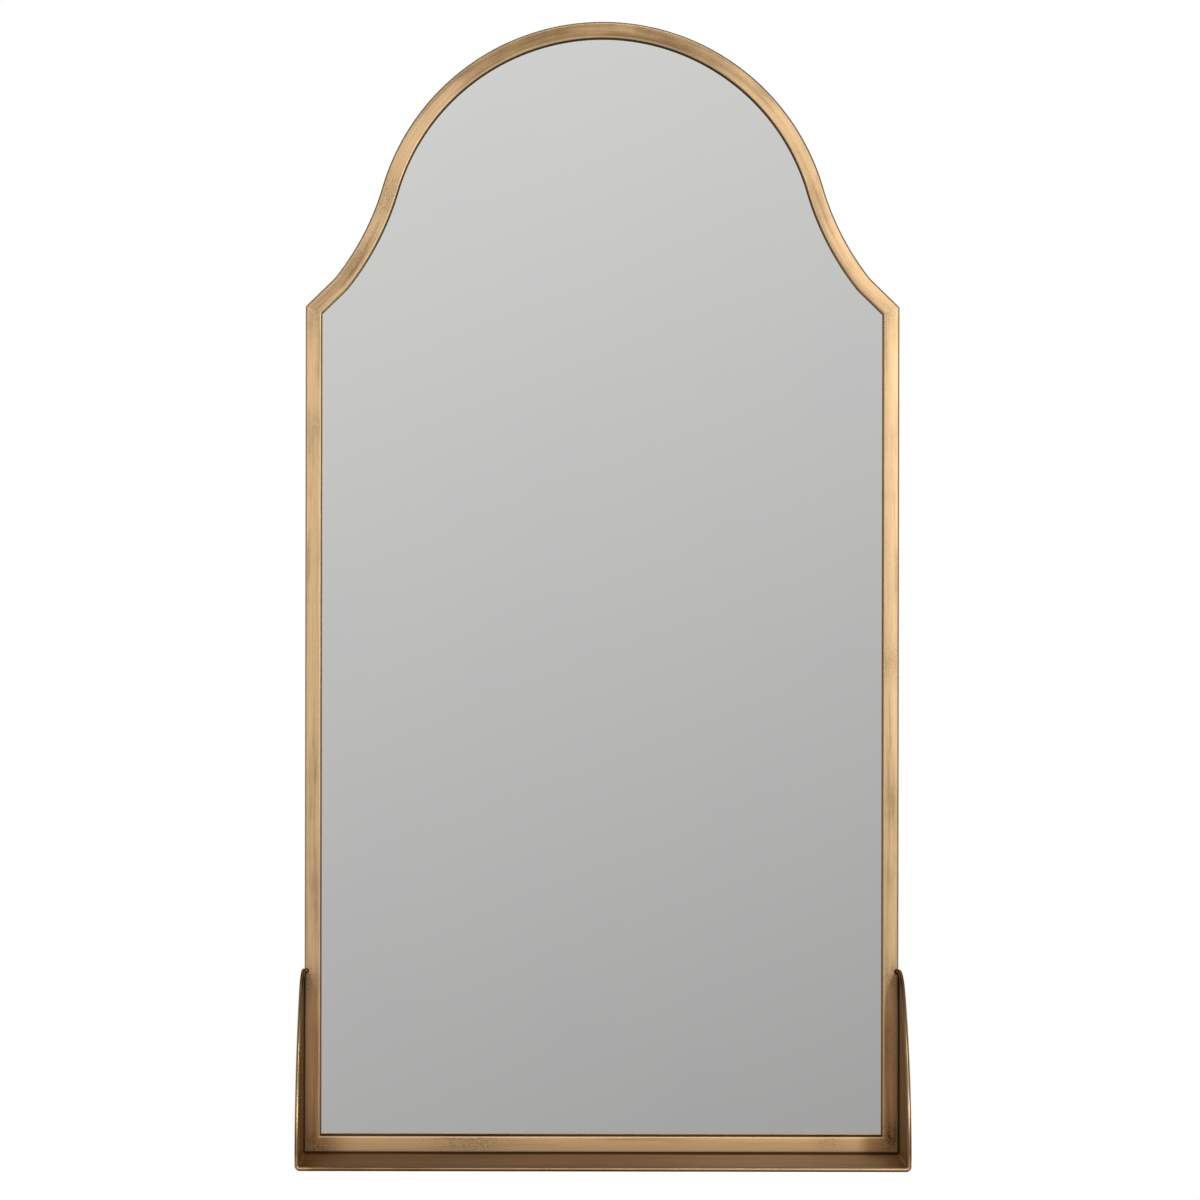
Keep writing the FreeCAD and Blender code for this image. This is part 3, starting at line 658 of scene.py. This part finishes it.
def tack_weld(name, bead, place, pitch):
    """Opens a piece with one tack weld: a row of melted beads, each laid over the last."""
    deselect()
    bpy.ops.mesh.primitive_ico_sphere_add(subdivisions=3, radius=1)
    piece = open_piece(name)
    bpy.ops.transform.vertex_random(offset=TACK_LUMPS, seed=3)
    bpy.ops.mesh.vertices_smooth(factor=0.5, repeat=1)
    stretch(*bead)
    first = [middle - TACK_BEADS_HALF * step for middle, step in zip(place, pitch)]
    move(*first)
    for bead_number in range(2 * TACK_BEADS_HALF):
        copy_on(*pitch)
    pick_all()
    return piece


def floor_tacks(finish):
    """Three tack welds along the sheet's rear edge, under the rail."""
    bead = (TACK_LENGTH, TACK_DEPTH, TACK_HEIGHT)
    place = (-FLOOR_TACK_STEP, TACK_Y, BOTTOM_Z - TACK_LIFT)
    piece = tack_weld("floor_tack_welds", bead, place, (TACK_PITCH, 0, 0))
    for copy_number in range(2):
        copy_on(FLOOR_TACK_STEP, 0, 0)
    close_piece(piece, "tray_tack_welds", "mirror", finish, WELD_SMOOTH)


def side_tacks(side, name, finish):
    """Two tack welds along the sheet's rear edge, beside a stile."""
    bead = (TACK_HEIGHT, TACK_DEPTH, TACK_LENGTH)
    place = (side * (HALF_WIDTH + TACK_LIFT), TACK_Y, SIDE_TACK_Z)
    piece = tack_weld("side_tack_welds_" + name, bead, place, (0, 0, TACK_PITCH))
    copy_on(0, 0, SIDE_TACK_STEP)
    close_piece(piece, "tray_tack_welds", "mirror", finish, WELD_SMOOTH)


# Hangers and bumpers

def ring_wire(side, name, finish):
    """D-shaped wire ring, hanging from its bar in the strap's loop."""
    half_bar = math.sqrt((RING_BOW - RING_CORNER) ** 2 - (RING_RISE - RING_CORNER) ** 2)
    past_half = math.atan2(RING_RISE - RING_CORNER, half_bar)
    piece = wire_circle("ring_wire_" + name, RING_WIRE, "Y")
    draw_out(half_bar, 0, 0)
    swing(RING_CORNER_STEPS, QUARTER - past_half, (half_bar, 0, -RING_CORNER), (0, -1, 0))
    swing(RING_BOW_STEPS, math.pi + 2 * past_half, (0, 0, -RING_RISE), (0, -1, 0))
    swing(RING_CORNER_STEPS, QUARTER - past_half, (-half_bar, 0, -RING_CORNER), (0, -1, 0))
    draw_out(half_bar, 0, 0)
    pick_all()
    bpy.ops.mesh.remove_doubles(threshold=WELD)
    bpy.ops.mesh.normals_make_consistent(inside=False)
    turn(-RING_LEAN, "X")
    move(side * PIVOT_X, PIVOT_Y, PIVOT_Z)
    close_piece(piece, "hanger_ring_" + name, "ring_" + name, finish)


def wall_bumper(side, name, finish):
    """Rubber bumper with a rounded tip and a shallow dimple."""
    deselect()
    sizes = {"radius1": BUMPER_BASE, "radius2": BUMPER_TIP, "depth": -BOARD_BACK_Y}
    bpy.ops.mesh.primitive_cone_add(vertices=BUMPER_STEPS, **sizes)
    piece = open_piece("bumper_" + name)
    turn(QUARTER, "X")
    open_mesh = bmesh.from_edit_mesh(piece.data)
    tip = min(open_mesh.verts, key=lambda v: math.hypot(v.co.x, v.co.z)).co.y
    if tip < 0:
        turn(math.pi, "X")
    move(side * BUMPER_X, BOARD_BACK_Y / 2, BUMPER_Z)
    pick("FACE", lambda p: near(p.y, 0))
    bpy.ops.mesh.bevel(offset=BUMPER_ROUNDING, segments=BUMPER_ROUND_STEPS, affect="EDGES")
    pick("FACE", lambda p: near(p.y, 0))
    bpy.ops.mesh.inset(thickness=BUMPER_RIM)
    bpy.ops.mesh.inset(thickness=DIMPLE_SLOPE)
    move(0, -DIMPLE_DEPTH, 0)
    close_piece(piece, "wall_bumper_" + name, "mirror", finish, BUMPER_SMOOTH)


# Finishes

class Wire:
    """A value in a finish, so that its sums are written as Python."""

    def __init__(self, finish, socket):
        self.finish = finish
        self.socket = socket

    def calc(self, operation, *others):
        sockets = dict(enumerate((self, *others)))
        return self.finish.node("ShaderNodeMath", {"operation": operation}, sockets)

    def __add__(self, other):
        return self.calc("ADD", other)

    __radd__ = __add__

    def __sub__(self, other):
        return self.calc("SUBTRACT", other)

    def __rsub__(self, other):
        return self * -1 + other

    def __mul__(self, other):
        return self.calc("MULTIPLY", other)

    def __truediv__(self, other):
        return self.calc("DIVIDE", other)


class Finish:
    """Material or world that is built up from nodes."""

    def __init__(self, owner):
        self.owner = owner
        owner.use_nodes = True
        self.tree = owner.node_tree
        self.tree.nodes.clear()

    def node(self, kind, settings=None, sockets=None, output=0):
        """Adds a node: its settings first, then the values or links of its sockets."""
        made = self.tree.nodes.new(kind)
        for key, value in (settings or {}).items():
            setattr(made, key, value)
        for key, value in (sockets or {}).items():
            socket = self.find(made.inputs, key)
            if isinstance(value, Wire):
                self.tree.links.new(value.socket, socket)
            else:
                socket.default_value = value
        if made.outputs:
            return Wire(self, self.find(made.outputs, output))

    @staticmethod
    def find(sockets, key):
        if isinstance(key, int):
            return sockets[key]
        return next(s for s in sockets if s.name == key and s.enabled)

    def place(self):
        """Object coordinates, as a vector."""
        return self.node("ShaderNodeTexCoord", output="Object")

    def axes(self, vector, names="XYZ"):
        """The named parts of a vector."""
        split = {"Vector": vector}
        return [self.node("ShaderNodeSeparateXYZ", sockets=split, output=axis) for axis in names]

    def vector(self, x, y, z):
        return self.node("ShaderNodeCombineXYZ", sockets={"X": x, "Y": y, "Z": z})

    def noise(self, vector, scale, detail=3.0, roughness=0.55):
        sockets = {"Vector": vector, "Scale": scale, "Detail": detail, "Roughness": roughness}
        return self.node("ShaderNodeTexNoise", sockets=sockets)

    def fade(self, value, low, high):
        """0 below low, 1 above high, and smooth between them; low may be the greater."""
        sockets = {"Value": value, "From Min": low, "From Max": high}
        return self.node("ShaderNodeMapRange", {"interpolation_type": "SMOOTHSTEP"}, sockets)

    def blend(self, share, first, second):
        sockets = {"Factor": share, "A": first, "B": second}
        return self.node("ShaderNodeMix", {"data_type": "RGBA"}, sockets, "Result")

    def bump(self, height, distance, strength):
        sockets = {"Height": height, "Distance": distance, "Strength": strength}
        return self.node("ShaderNodeBump", sockets=sockets)

    def surface(self, sockets):
        shader = self.node("ShaderNodeBsdfPrincipled", sockets=sockets, output="BSDF")
        self.node("ShaderNodeOutputMaterial", sockets={"Surface": shader})
        return self.owner


def new_finish(name):
    return Finish(bpy.data.materials.new(name))


# Antique brass: fine brushing along each member, brown patina and painted shade in smudges, worn bends
# with painted highlights

def along_stile(x, z):
    """Distance along the stile, and inwards from the outline."""
    return z, HALF_WIDTH - x.calc("ABSOLUTE")


def along_rail(x, z):
    return x, z - BOTTOM_Z


def along_arch(x, z):
    """Follows the crown, and the reverse curves and their straight ends below it."""
    side = x.calc("SIGN")
    out = x.calc("ABSOLUTE")
    rise = z - CROWN_Z
    crown_turn = rise.calc("ARCTAN2", out)
    crown_reach = (out * out + rise * rise).calc("SQRT")
    across = REVERSE_X - out
    drop = REVERSE_Z - z
    reverse_turn = drop.calc("ARCTAN2", across)
    reverse_reach = (across * across + drop * drop).calc("SQRT")
    crown_run = (QUARTER - crown_turn) * CROWN_RADIUS
    meeting = (QUARTER - CROWN_END) * CROWN_RADIUS
    reverse_run = (reverse_turn - CROWN_END) * REVERSE_RADIUS + meeting
    below_end = (BEND_X - out) * math.cos(BEND_END) + (BEND_Z - z) * math.sin(BEND_END) - END_BEND_RADIUS
    below_reverse = (reverse_reach - REVERSE_RADIUS).calc("MAXIMUM", below_end)
    on_crown = crown_turn.calc("GREATER_THAN", CROWN_END)
    run = on_crown * crown_run + (1 - on_crown) * reverse_run
    inset = on_crown * (CROWN_RADIUS - crown_reach) + (1 - on_crown) * below_reverse
    return run * side, inset


def along_tray(x, y, z):
    """Along the sheet, up one side, over the floor and up the other; and forwards."""
    rise = (z - BOTTOM_Z).calc("MAXIMUM", 0.0)
    return x + x.calc("SIGN") * rise, y * -1


def smudge(f, across, up, places):
    """Sum of soft round marks at given places."""
    total = 0.0
    for place_across, place_up, radius, strength in places:
        off_across = across - place_across
        off_up = up - place_up
        reach = (off_across * off_across + off_up * off_up).calc("SQRT")
        total = f.fade(reach, radius, 0.0) * strength + total
    return total


def brass_grain(f, along, across, y):
    """Brushing, long streaks and fine pepper spots, all drawn out along the piece."""
    brushed = f.noise(f.vector(along * 14, across * 800, y * 800), 1.0, 3.0)
    streaks = f.noise(f.vector(along * 8, across * 150, y * 150), 1.0, 4.0)
    pepper = f.noise(f.vector(along * 700, across * 1500, y * 1500), 1.0, 2.0, 0.6)
    return brushed, streaks, pepper


def brass_surface(f, tone, patina_and_shade, brushed, roughness, brushing, metal=1.0):
    """Metal of a given tone, browned and dulled by aging and by painted shade; brushing is the strength
    of its bump.
    """
    patina_and_shade = patina_and_shade.calc("MINIMUM", 1.0)
    return f.surface({
        "Base Color": f.blend(patina_and_shade, tone, BROWN),
        "Metallic": metal,
        "Roughness": roughness + brushed * 0.08 + patina_and_shade * 0.12,
        "Specular Tint": BRASS_EDGE,
        "Normal": f.bump(brushed, 0.00015, brushing),
    })


def painted_edge_shade(f, x, y, z, inset, in_tray_shade, lips):
    """Painted shade: dark lines along the inner lip and the outer rim, darker above the shoulders."""
    high = f.fade(z, shoulder_z(0), shoulder_z(0) + ARCH_LIP_RISE)
    left_lip, right_lip = lips
    low_lip = f.fade(x, *CHANGE_X) * (right_lip - left_lip) + left_lip
    lip = f.fade(inset, *LIP_INSET) * (low_lip * (1 - high) + high * DARK_LIP)
    rim = f.fade(inset, *RIM_INSET) * (1 - in_tray_shade) * (high * 0.4 + 0.5)
    rim = rim + f.fade(inset, *TRAY_SHADE_RIM_INSET) * in_tray_shade
    return lip + rim * f.fade(y, REAR_Y, FACE_Y)


def member_brass(name, run, places, age, crown_shade=0.0, roughness=0.40, lips=(DARK_LIP, DARK_LIP)):
    """Brushed brass of a frame member; age is how far its tone has gone brown all over.

    It has painted shade at the crown's top. Between the tray's sides its tone is painted
    shade of the tray on the stiles and painted light thrown back by the tray on the rail,
    with painted highlights on the bends. Lips are how dark the painted shade on the inner
    lip is below the shoulders, on the left and on the right.
    """
    f = new_finish(name)
    vector = f.place()
    x, y, z = f.axes(vector)
    along, inset = run(x, z)
    brushed, streaks, pepper = brass_grain(f, along, inset, y)
    clouds = f.noise(vector, 18.0, 4.0, 0.6)
    near_places = smudge(f, x, z, places)
    in_tray_shade = f.fade(z, *TRAY_SHADE_Z)
    upright = f.fade(x.calc("ABSOLUTE"), *UPRIGHT_X)
    worn_and_highlit = f.fade((inset - FACE_WIDTH / 2).calc("ABSOLUTE"), *WORN_HIGHLIT_OFF) * f.fade(y, *WORN_HIGHLIT_Y)
    painted_bend_highlight = worn_and_highlit * in_tray_shade * f.fade(inset, *BRIGHT_INNER) * f.fade(inset, *BRIGHT_OUTER)
    painted_bounce_light = in_tray_shade * f.fade(inset, *BOUNCE_INSET) * (1 - upright * 0.75)

    tone = f.blend(f.fade(brushed, *BRUSH_RANGE), BRASS_LOW, BRASS_HIGH)
    # Painted shade: the crown's top goes towards the aged tone, together with the streaks of age
    crown_shaded = f.fade(z, *CROWN_SHADE_Z) * crown_shade
    browned = f.fade(streaks + (clouds - 0.5) * 0.6 + crown_shaded + age, 0.42, 0.98)
    tone = f.blend(browned, tone, AGED_AND_SHADED)
    # Painted shade of the tray on the stiles and painted light thrown back by the tray on the rail, both
    # streaked with age
    tray_shade_and_bounce_tone = f.blend(upright, RAIL_BOUNCE_TONE, STILE_SHADE_TONE)
    tray_shade_and_bounce_tone = f.blend(f.fade(streaks, 0.45, 0.72) * 0.50, tray_shade_and_bounce_tone, AGED_AND_SHADED)
    tone = f.blend(in_tray_shade * 0.8, tone, tray_shade_and_bounce_tone)
    # Wear and painted highlight along the face's bends
    tone = f.blend(worn_and_highlit * 0.7, tone, BRASS_WORN_HIGHLIT)
    # Painted highlight on the bends and painted bounce light near the face's outer side, between the
    # tray's sides
    tone = f.blend(painted_bend_highlight.calc("MAXIMUM", painted_bounce_light * 0.8), tone, BRASS_BEND_HIGHLIGHT)

    spots = f.fade(pepper + (clouds - 0.5) * 0.35 + near_places * 0.35, 0.58, 0.86)
    # Patina spots and smudges, with painted shadow below the tray's tips and low on the right stile;
    # painted shade along the edges is added next
    patina_and_shade = spots * (0.10 + near_places * 0.9) + near_places * 0.25
    patina_and_shade = patina_and_shade * (1 - worn_and_highlit * 0.6)
    patina_and_shade = patina_and_shade + painted_edge_shade(f, x, y, z, inset, in_tray_shade, lips)
    metal = 1 - painted_bend_highlight * 0.3 - painted_bounce_light * 0.5
    return brass_surface(f, tone, patina_and_shade, brushed, roughness, 0.5, metal)


def tray_brass_finish():
    """Darker brass of the sheet, lighter in patches inside, and darker inside than outside, partly aged
    and partly painted shade; painted shade, nearly black, where it meets the frame.
    """
    f = new_finish("brass_tray")
    vector = f.place()
    x, y, z = f.axes(vector)
    along, across = along_tray(x, y, z)
    brushed, streaks, pepper = brass_grain(f, along, across, y)
    clouds = f.noise(vector, 14.0, 4.0, 0.6)
    brushing = f.fade(brushed, *BRUSH_RANGE)
    inside = f.fade(x.calc("ABSOLUTE"), *TRAY_INSIDE_X) * f.fade(z, *TRAY_INSIDE_Z)
    # Painted shade, nearly black, on the sheet next to the frame
    frame_shade = f.fade(y, *TRAY_FRAME_SHADE_Y) * inside
    front = f.fade(y, *TRAY_FRONT_Y) * inside
    tone = f.blend(brushing * 0.4 + 0.5, AGED_DARK, TRAY_BROWN)
    tone = f.blend(smudge(f, x, y, TRAY_MARKS).calc("MINIMUM", 1.0), tone, BRASS_HIGH)
    # The outside is lighter than the inside, whose darker tone is partly age and partly painted shade
    outside = f.blend(brushing * 0.25 + 0.45, TRAY_BROWN, BRASS_LOW)
    tone = f.blend(inside, outside, tone)
    spots = f.fade(pepper + (clouds - 0.5) * 0.5, 0.5, 0.8)
    patina_and_shade = spots * 0.3 + f.fade(streaks, 0.4, 0.7) * 0.35 + frame_shade + front * 0.2
    return brass_surface(f, tone, patina_and_shade, brushed, 0.40, 0.3, 1 - inside * 0.4)


def rod_brass_finish():
    """Smooth drawn rod, with painted highlights in front, at its front corners and half-way up its
    sides.

    It has painted shade below and outside, is darker at its tips, and has a pale painted glint along the
    inner side of its sides.
    """
    f = new_finish("brass_rod")
    vector = f.place()
    x, y, z = f.axes(vector)
    clouds = f.noise(vector, 22.0, 3.0)
    off_x = x.calc("ABSOLUTE") - RIM_X
    off_y = y - RIM_Y
    off_z = z - RIM_Z
    corner = (off_x * off_x + off_y * off_y + off_z * off_z).calc("SQRT")
    painted_glint = f.fade(z, *ROD_GLINT_FROM_Z) * f.fade(z, *ROD_GLINT_TO_Z)
    front = f.fade(off_z, *ROD_FRONT_RISE)
    # Painted highlights at the front corners, half-way up the sides and along the front's right part
    rubbed = f.fade(corner, *ROD_CORNER_REACH).calc("MAXIMUM", painted_glint)
    rubbed = rubbed.calc("MAXIMUM", front * f.fade(x, *ROD_FRONT_X))
    tone = f.blend(f.fade(clouds, 0.35, 0.7) * 0.6, TRAY_BROWN, AGED_DARK)
    tone = f.blend(rubbed * 0.65, tone, BRASS_HIGH)
    # Pale painted glint along the inner side of the side rods
    inner_glint = f.fade(off_x, *ROD_GLINT_INNER_X) * (1 - rubbed) * (1 - front)
    tone = f.blend(inner_glint, tone, PALE_GLINT)
    tip = f.fade(z, *ROD_TIP_Z)
    # Painted shade under the front rod and on the outer side of the side rods
    under = f.fade(off_z, *ROD_UNDER_Z) * 0.85 + f.fade(off_x, *ROD_OUTER_X) * (1 - front) * 0.45
    patina_and_shade = f.fade(clouds, 0.5, 0.8) * 0.25 * (1 - rubbed) + tip * 0.7 + under
    return brass_surface(f, tone, patina_and_shade, clouds, 0.25, 0.05)


def weld_brass_finish():
    """Heat-browned weld metal, browner on the right."""
    f = new_finish("brass_weld")
    vector = f.place()
    x, = f.axes(vector, "X")
    scale = f.noise(vector, 900.0, 3.0)
    heated = f.fade(x, *CHANGE_X) * 0.45 + 0.15
    return brass_surface(f, TRAY_BROWN, heated + scale * 0.5, scale, 0.38, 0.8)


# Other finishes

def mirror_finish():
    """Silvered glass, with the faintest of wiping marks."""
    f = new_finish("silvered_glass")
    marks = f.fade(f.noise(f.place(), 7.0, 4.0), 0.45, 0.75)
    return f.surface({
        "Base Color": f.blend(marks, SILVER_CLEAN, SILVER_WIPED),
        "Metallic": 1.0,
        "Roughness": marks * 0.004,
    })


def board_finish():
    """Pressed fibre board, raw on the back."""
    f = new_finish("fibre_board")
    vector = f.place()
    x, y, z = f.axes(vector)
    fibres = f.noise(f.vector(x * 420, y * 420, z * 90), 1.0, 4.0, 0.7)
    crossing = f.noise(f.vector(x * 80, y * 380, z * 380), 1.0, 4.0, 0.7)
    blotch = f.noise(vector, 6.0, 3.0)
    mixed = fibres * 0.5 + crossing * 0.5
    tone = f.blend(f.fade(mixed, 0.35, 0.65), BOARD_DARK, BOARD_LIGHT)
    return f.surface({
        "Base Color": f.blend(f.fade(blotch, 0.4, 0.7) * 0.5, tone, BOARD_BLOTCH),
        "Roughness": 0.62 + mixed * 0.25,
        "Normal": f.bump(mixed, 0.0006, 0.5),
    })


def zinc_finish():
    """Bright zinc plating, rubbed and slightly clouded."""
    f = new_finish("zinc_steel")
    vector = f.place()
    x, y, z = f.axes(vector)
    clouds = f.noise(vector, 120.0, 4.0)
    rubs = f.noise(f.vector(x * 1500, y * 1500, z * 120), 1.0, 3.0)
    return f.surface({
        "Base Color": f.blend(f.fade(clouds, 0.35, 0.7), ZINC_BRIGHT, ZINC_DULL),
        "Metallic": 1.0,
        "Roughness": 0.26 + clouds * 0.16 + rubs * 0.06,
        "Normal": f.bump(rubs, 0.0001, 0.3),
    })


def rubber_finish():
    f = new_finish("black_rubber")
    vector = f.place()
    grain = f.noise(vector, 1400.0, 3.0)
    dust = f.noise(vector, 180.0, 4.0)
    return f.surface({
        "Base Color": f.blend(f.fade(dust, 0.5, 0.75), RUBBER_BLACK, RUBBER_DUSTY),
        "Roughness": 0.58 + dust * 0.25,
        "Normal": f.bump(grain, 0.0002, 0.4),
    })


def foam_finish():
    f = new_finish("white_foam")
    sockets = {"Vector": f.place(), "Scale": 900.0}
    cells = f.node("ShaderNodeTexVoronoi", sockets=sockets, output="Distance")
    return f.surface({
        "Base Color": f.blend(f.fade(cells, 0.1, 0.6), FOAM_SHADED, FOAM_WHITE),
        "Roughness": 0.75 + cells * 0.15,
        "Normal": f.bump(cells, 0.0003, 0.4),
    })


# Studio

def studio_world():
    """White to the eye and in reflections; a soft grey as light."""
    world = bpy.data.worlds.new("studio")
    bpy.context.scene.world = world
    f = Finish(world)
    seen = f.node("ShaderNodeLightPath", output="Is Camera Ray")
    seen = seen + f.node("ShaderNodeLightPath", output="Is Glossy Ray")
    seen = (seen + f.node("ShaderNodeLightPath", output="Is Transmission Ray")).calc("MINIMUM", 1.0)
    colour = f.blend(seen, SOFT_GREY, WHITE)
    light = f.node("ShaderNodeBackground", sockets={"Color": colour, "Strength": 1.0})
    f.node("ShaderNodeOutputWorld", sockets={"Surface": light})


def wall_finish():
    """White to the eye; in the mirror a grey that changes over the wall, and darkens to its ends."""
    f = new_finish("studio_wall")
    x, z = f.axes(f.place(), "XZ")
    before = x * WALL_GREY_X + z * WALL_GREY_Z + WALL_GREY
    before = before.calc("MAXIMUM", WALL_DARKEST).calc("MINIMUM", WALL_LIGHTEST) / MIRROR_SHARE
    aside = f.fade(x.calc("ABSOLUTE"), *WALL_ASIDE)
    above = f.fade(z, *WALL_ABOVE)
    grey = before * (1 - aside * WALL_DIMMED) * (1 - above * WALL_DIMMED)
    seen = f.node("ShaderNodeLightPath", output="Is Camera Ray")
    colour = f.blend(seen, f.vector(grey, grey, grey), WHITE)
    light = f.node("ShaderNodeEmission", sockets={"Color": colour, "Strength": 1.0})
    f.node("ShaderNodeOutputMaterial", sockets={"Surface": light})
    return f.owner


def studio_wall():
    """Round wall before the mirror, under a ceiling."""
    finish = wall_finish()
    wall = open_point("studio_wall")
    move(-WALL_RADIUS, 0, FLOOR_Z)
    draw_out(0, 0, WALL_HEIGHT)
    draw_out(WALL_RADIUS, 0, 0)
    pick_all()
    swing(WALL_STEPS, math.pi, ORIGIN, (0, 0, -1))
    bpy.ops.object.mode_set(mode="OBJECT")
    bpy.ops.object.shade_smooth_by_angle(angle=math.radians(WALL_SMOOTH))
    wall.data.materials.append(finish)


def studio_floor():
    f = new_finish("studio_floor")
    grain = f.noise(f.place(), 30.0, 3.0)
    finish = f.surface({
        "Base Color": f.blend(grain, FLOOR_GREY, FLOOR_PALE),
        "Roughness": 0.6 + grain * 0.2,
    })
    floor = open_square("studio_floor")
    stretch(FLOOR_WIDTH, FLOOR_DEPTH, 1)
    move(0, FLOOR_Y, FLOOR_Z)
    bpy.ops.object.mode_set(mode="OBJECT")
    floor.data.materials.append(finish)


def softbox(name, place, target, width, height, power, unlit):
    """Upright area lamp that looks at a point, and doesn't show in the pieces kept out of its light."""
    lamp = bpy.data.lights.new(name, "AREA")
    lamp.shape = "RECTANGLE"
    lamp.size = width
    lamp.size_y = height
    lamp.energy = power
    holder = bpy.data.objects.new(name, lamp)
    bpy.context.scene.collection.objects.link(holder)
    holder.location = place
    look = Vector(target) - Vector(place)
    holder.rotation_euler = look.to_track_quat("-Z", "Y").to_euler()
    holder.light_linking.receiver_collection = unlit


def kept_unlit(piece):
    """Collection by which a lamp leaves a piece out."""
    unlit = bpy.data.collections.new("unlit")
    unlit.objects.link(piece)
    unlit.collection_objects[0].light_linking.link_state = "EXCLUDE"
    return unlit


def lamps():
    unlit = kept_unlit(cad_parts["mirror_glass"])
    softbox("right_light", (1.15, -2.80, 0.15), SIDE_LAMP_TARGET, 0.32, 0.9, 17, unlit)
    softbox("left_light", (-1.2, -2.80, 0.15), SIDE_LAMP_TARGET, 0.7, 1.5, 9.5, unlit)
    softbox("top_light", (0.15, -2.0, 1.4), TOP_LAMP_TARGET, 1.2, 0.5, 9, unlit)


def camera():
    eye = bpy.data.cameras.new("camera")
    holder = bpy.data.objects.new("camera", eye)
    bpy.context.scene.collection.objects.link(holder)
    holder.location = CAMERA_PLACE
    holder.rotation_euler = (QUARTER, CAMERA_ROLL, 0)
    eye.sensor_width = CAMERA_SENSOR
    eye.lens = CAMERA_LENS
    eye.shift_x = CAMERA_SHIFT
    bpy.context.scene.camera = holder


# Assembly

def arch_brass_finish():
    places = SHOULDER_MARKS + CROWN_MARKS
    return member_brass("brass_arch", along_arch, places, age=0.03, crown_shade=0.27, lips=STILE_LIPS)


def stile_brass_finish():
    places = SHOULDER_MARKS + FOOT_MARKS + TIP_SHADOW_MARKS + STILE_MARKS
    return member_brass("brass_stile", along_stile, places, age=0.0, lips=STILE_LIPS)


def rail_brass_finish():
    return member_brass("brass_rail", along_rail, FOOT_MARKS + RAIL_MARKS, age=-0.3, roughness=0.47)


def dress():
    """Shapes the pieces anew, and gives the others their finish."""
    stile_brass = stile_brass_finish()
    tray_brass = tray_brass_finish()
    weld_brass = weld_brass_finish()
    zinc = zinc_finish()
    rubber = rubber_finish()
    arch_strip(arch_brass_finish())
    rail_strip(rail_brass_finish())
    tray_sheet(tray_brass)
    rim_rod(rod_brass_finish())
    floor_tacks(weld_brass)
    for side, name in SIDES:
        side_tacks(side, name, weld_brass)
    for side, name in SIDES:
        stile_strip(side, name, stile_brass)
        tip_weld(side, name, weld_brass)
        ring_wire(side, name, zinc)
        wall_bumper(side, name, rubber)
    kept = {
        "mirror_glass": mirror_finish(),
        "foam_sheet": foam_finish(),
        "backing_board": board_finish(),
        "setting_pads": rubber,
        "retaining_tabs": tray_brass,
    }
    for side, name in SIDES:
        for part in ("hanger_lug_", "hanger_strap_", "hanger_screws_"):
            kept[part + name] = zinc
    for node, finish in kept.items():
        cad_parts[node].data.materials[0] = finish


dress()
studio_world()
studio_wall()
studio_floor()
lamps()
camera()
bpy.context.scene.view_settings.view_transform = "Standard"
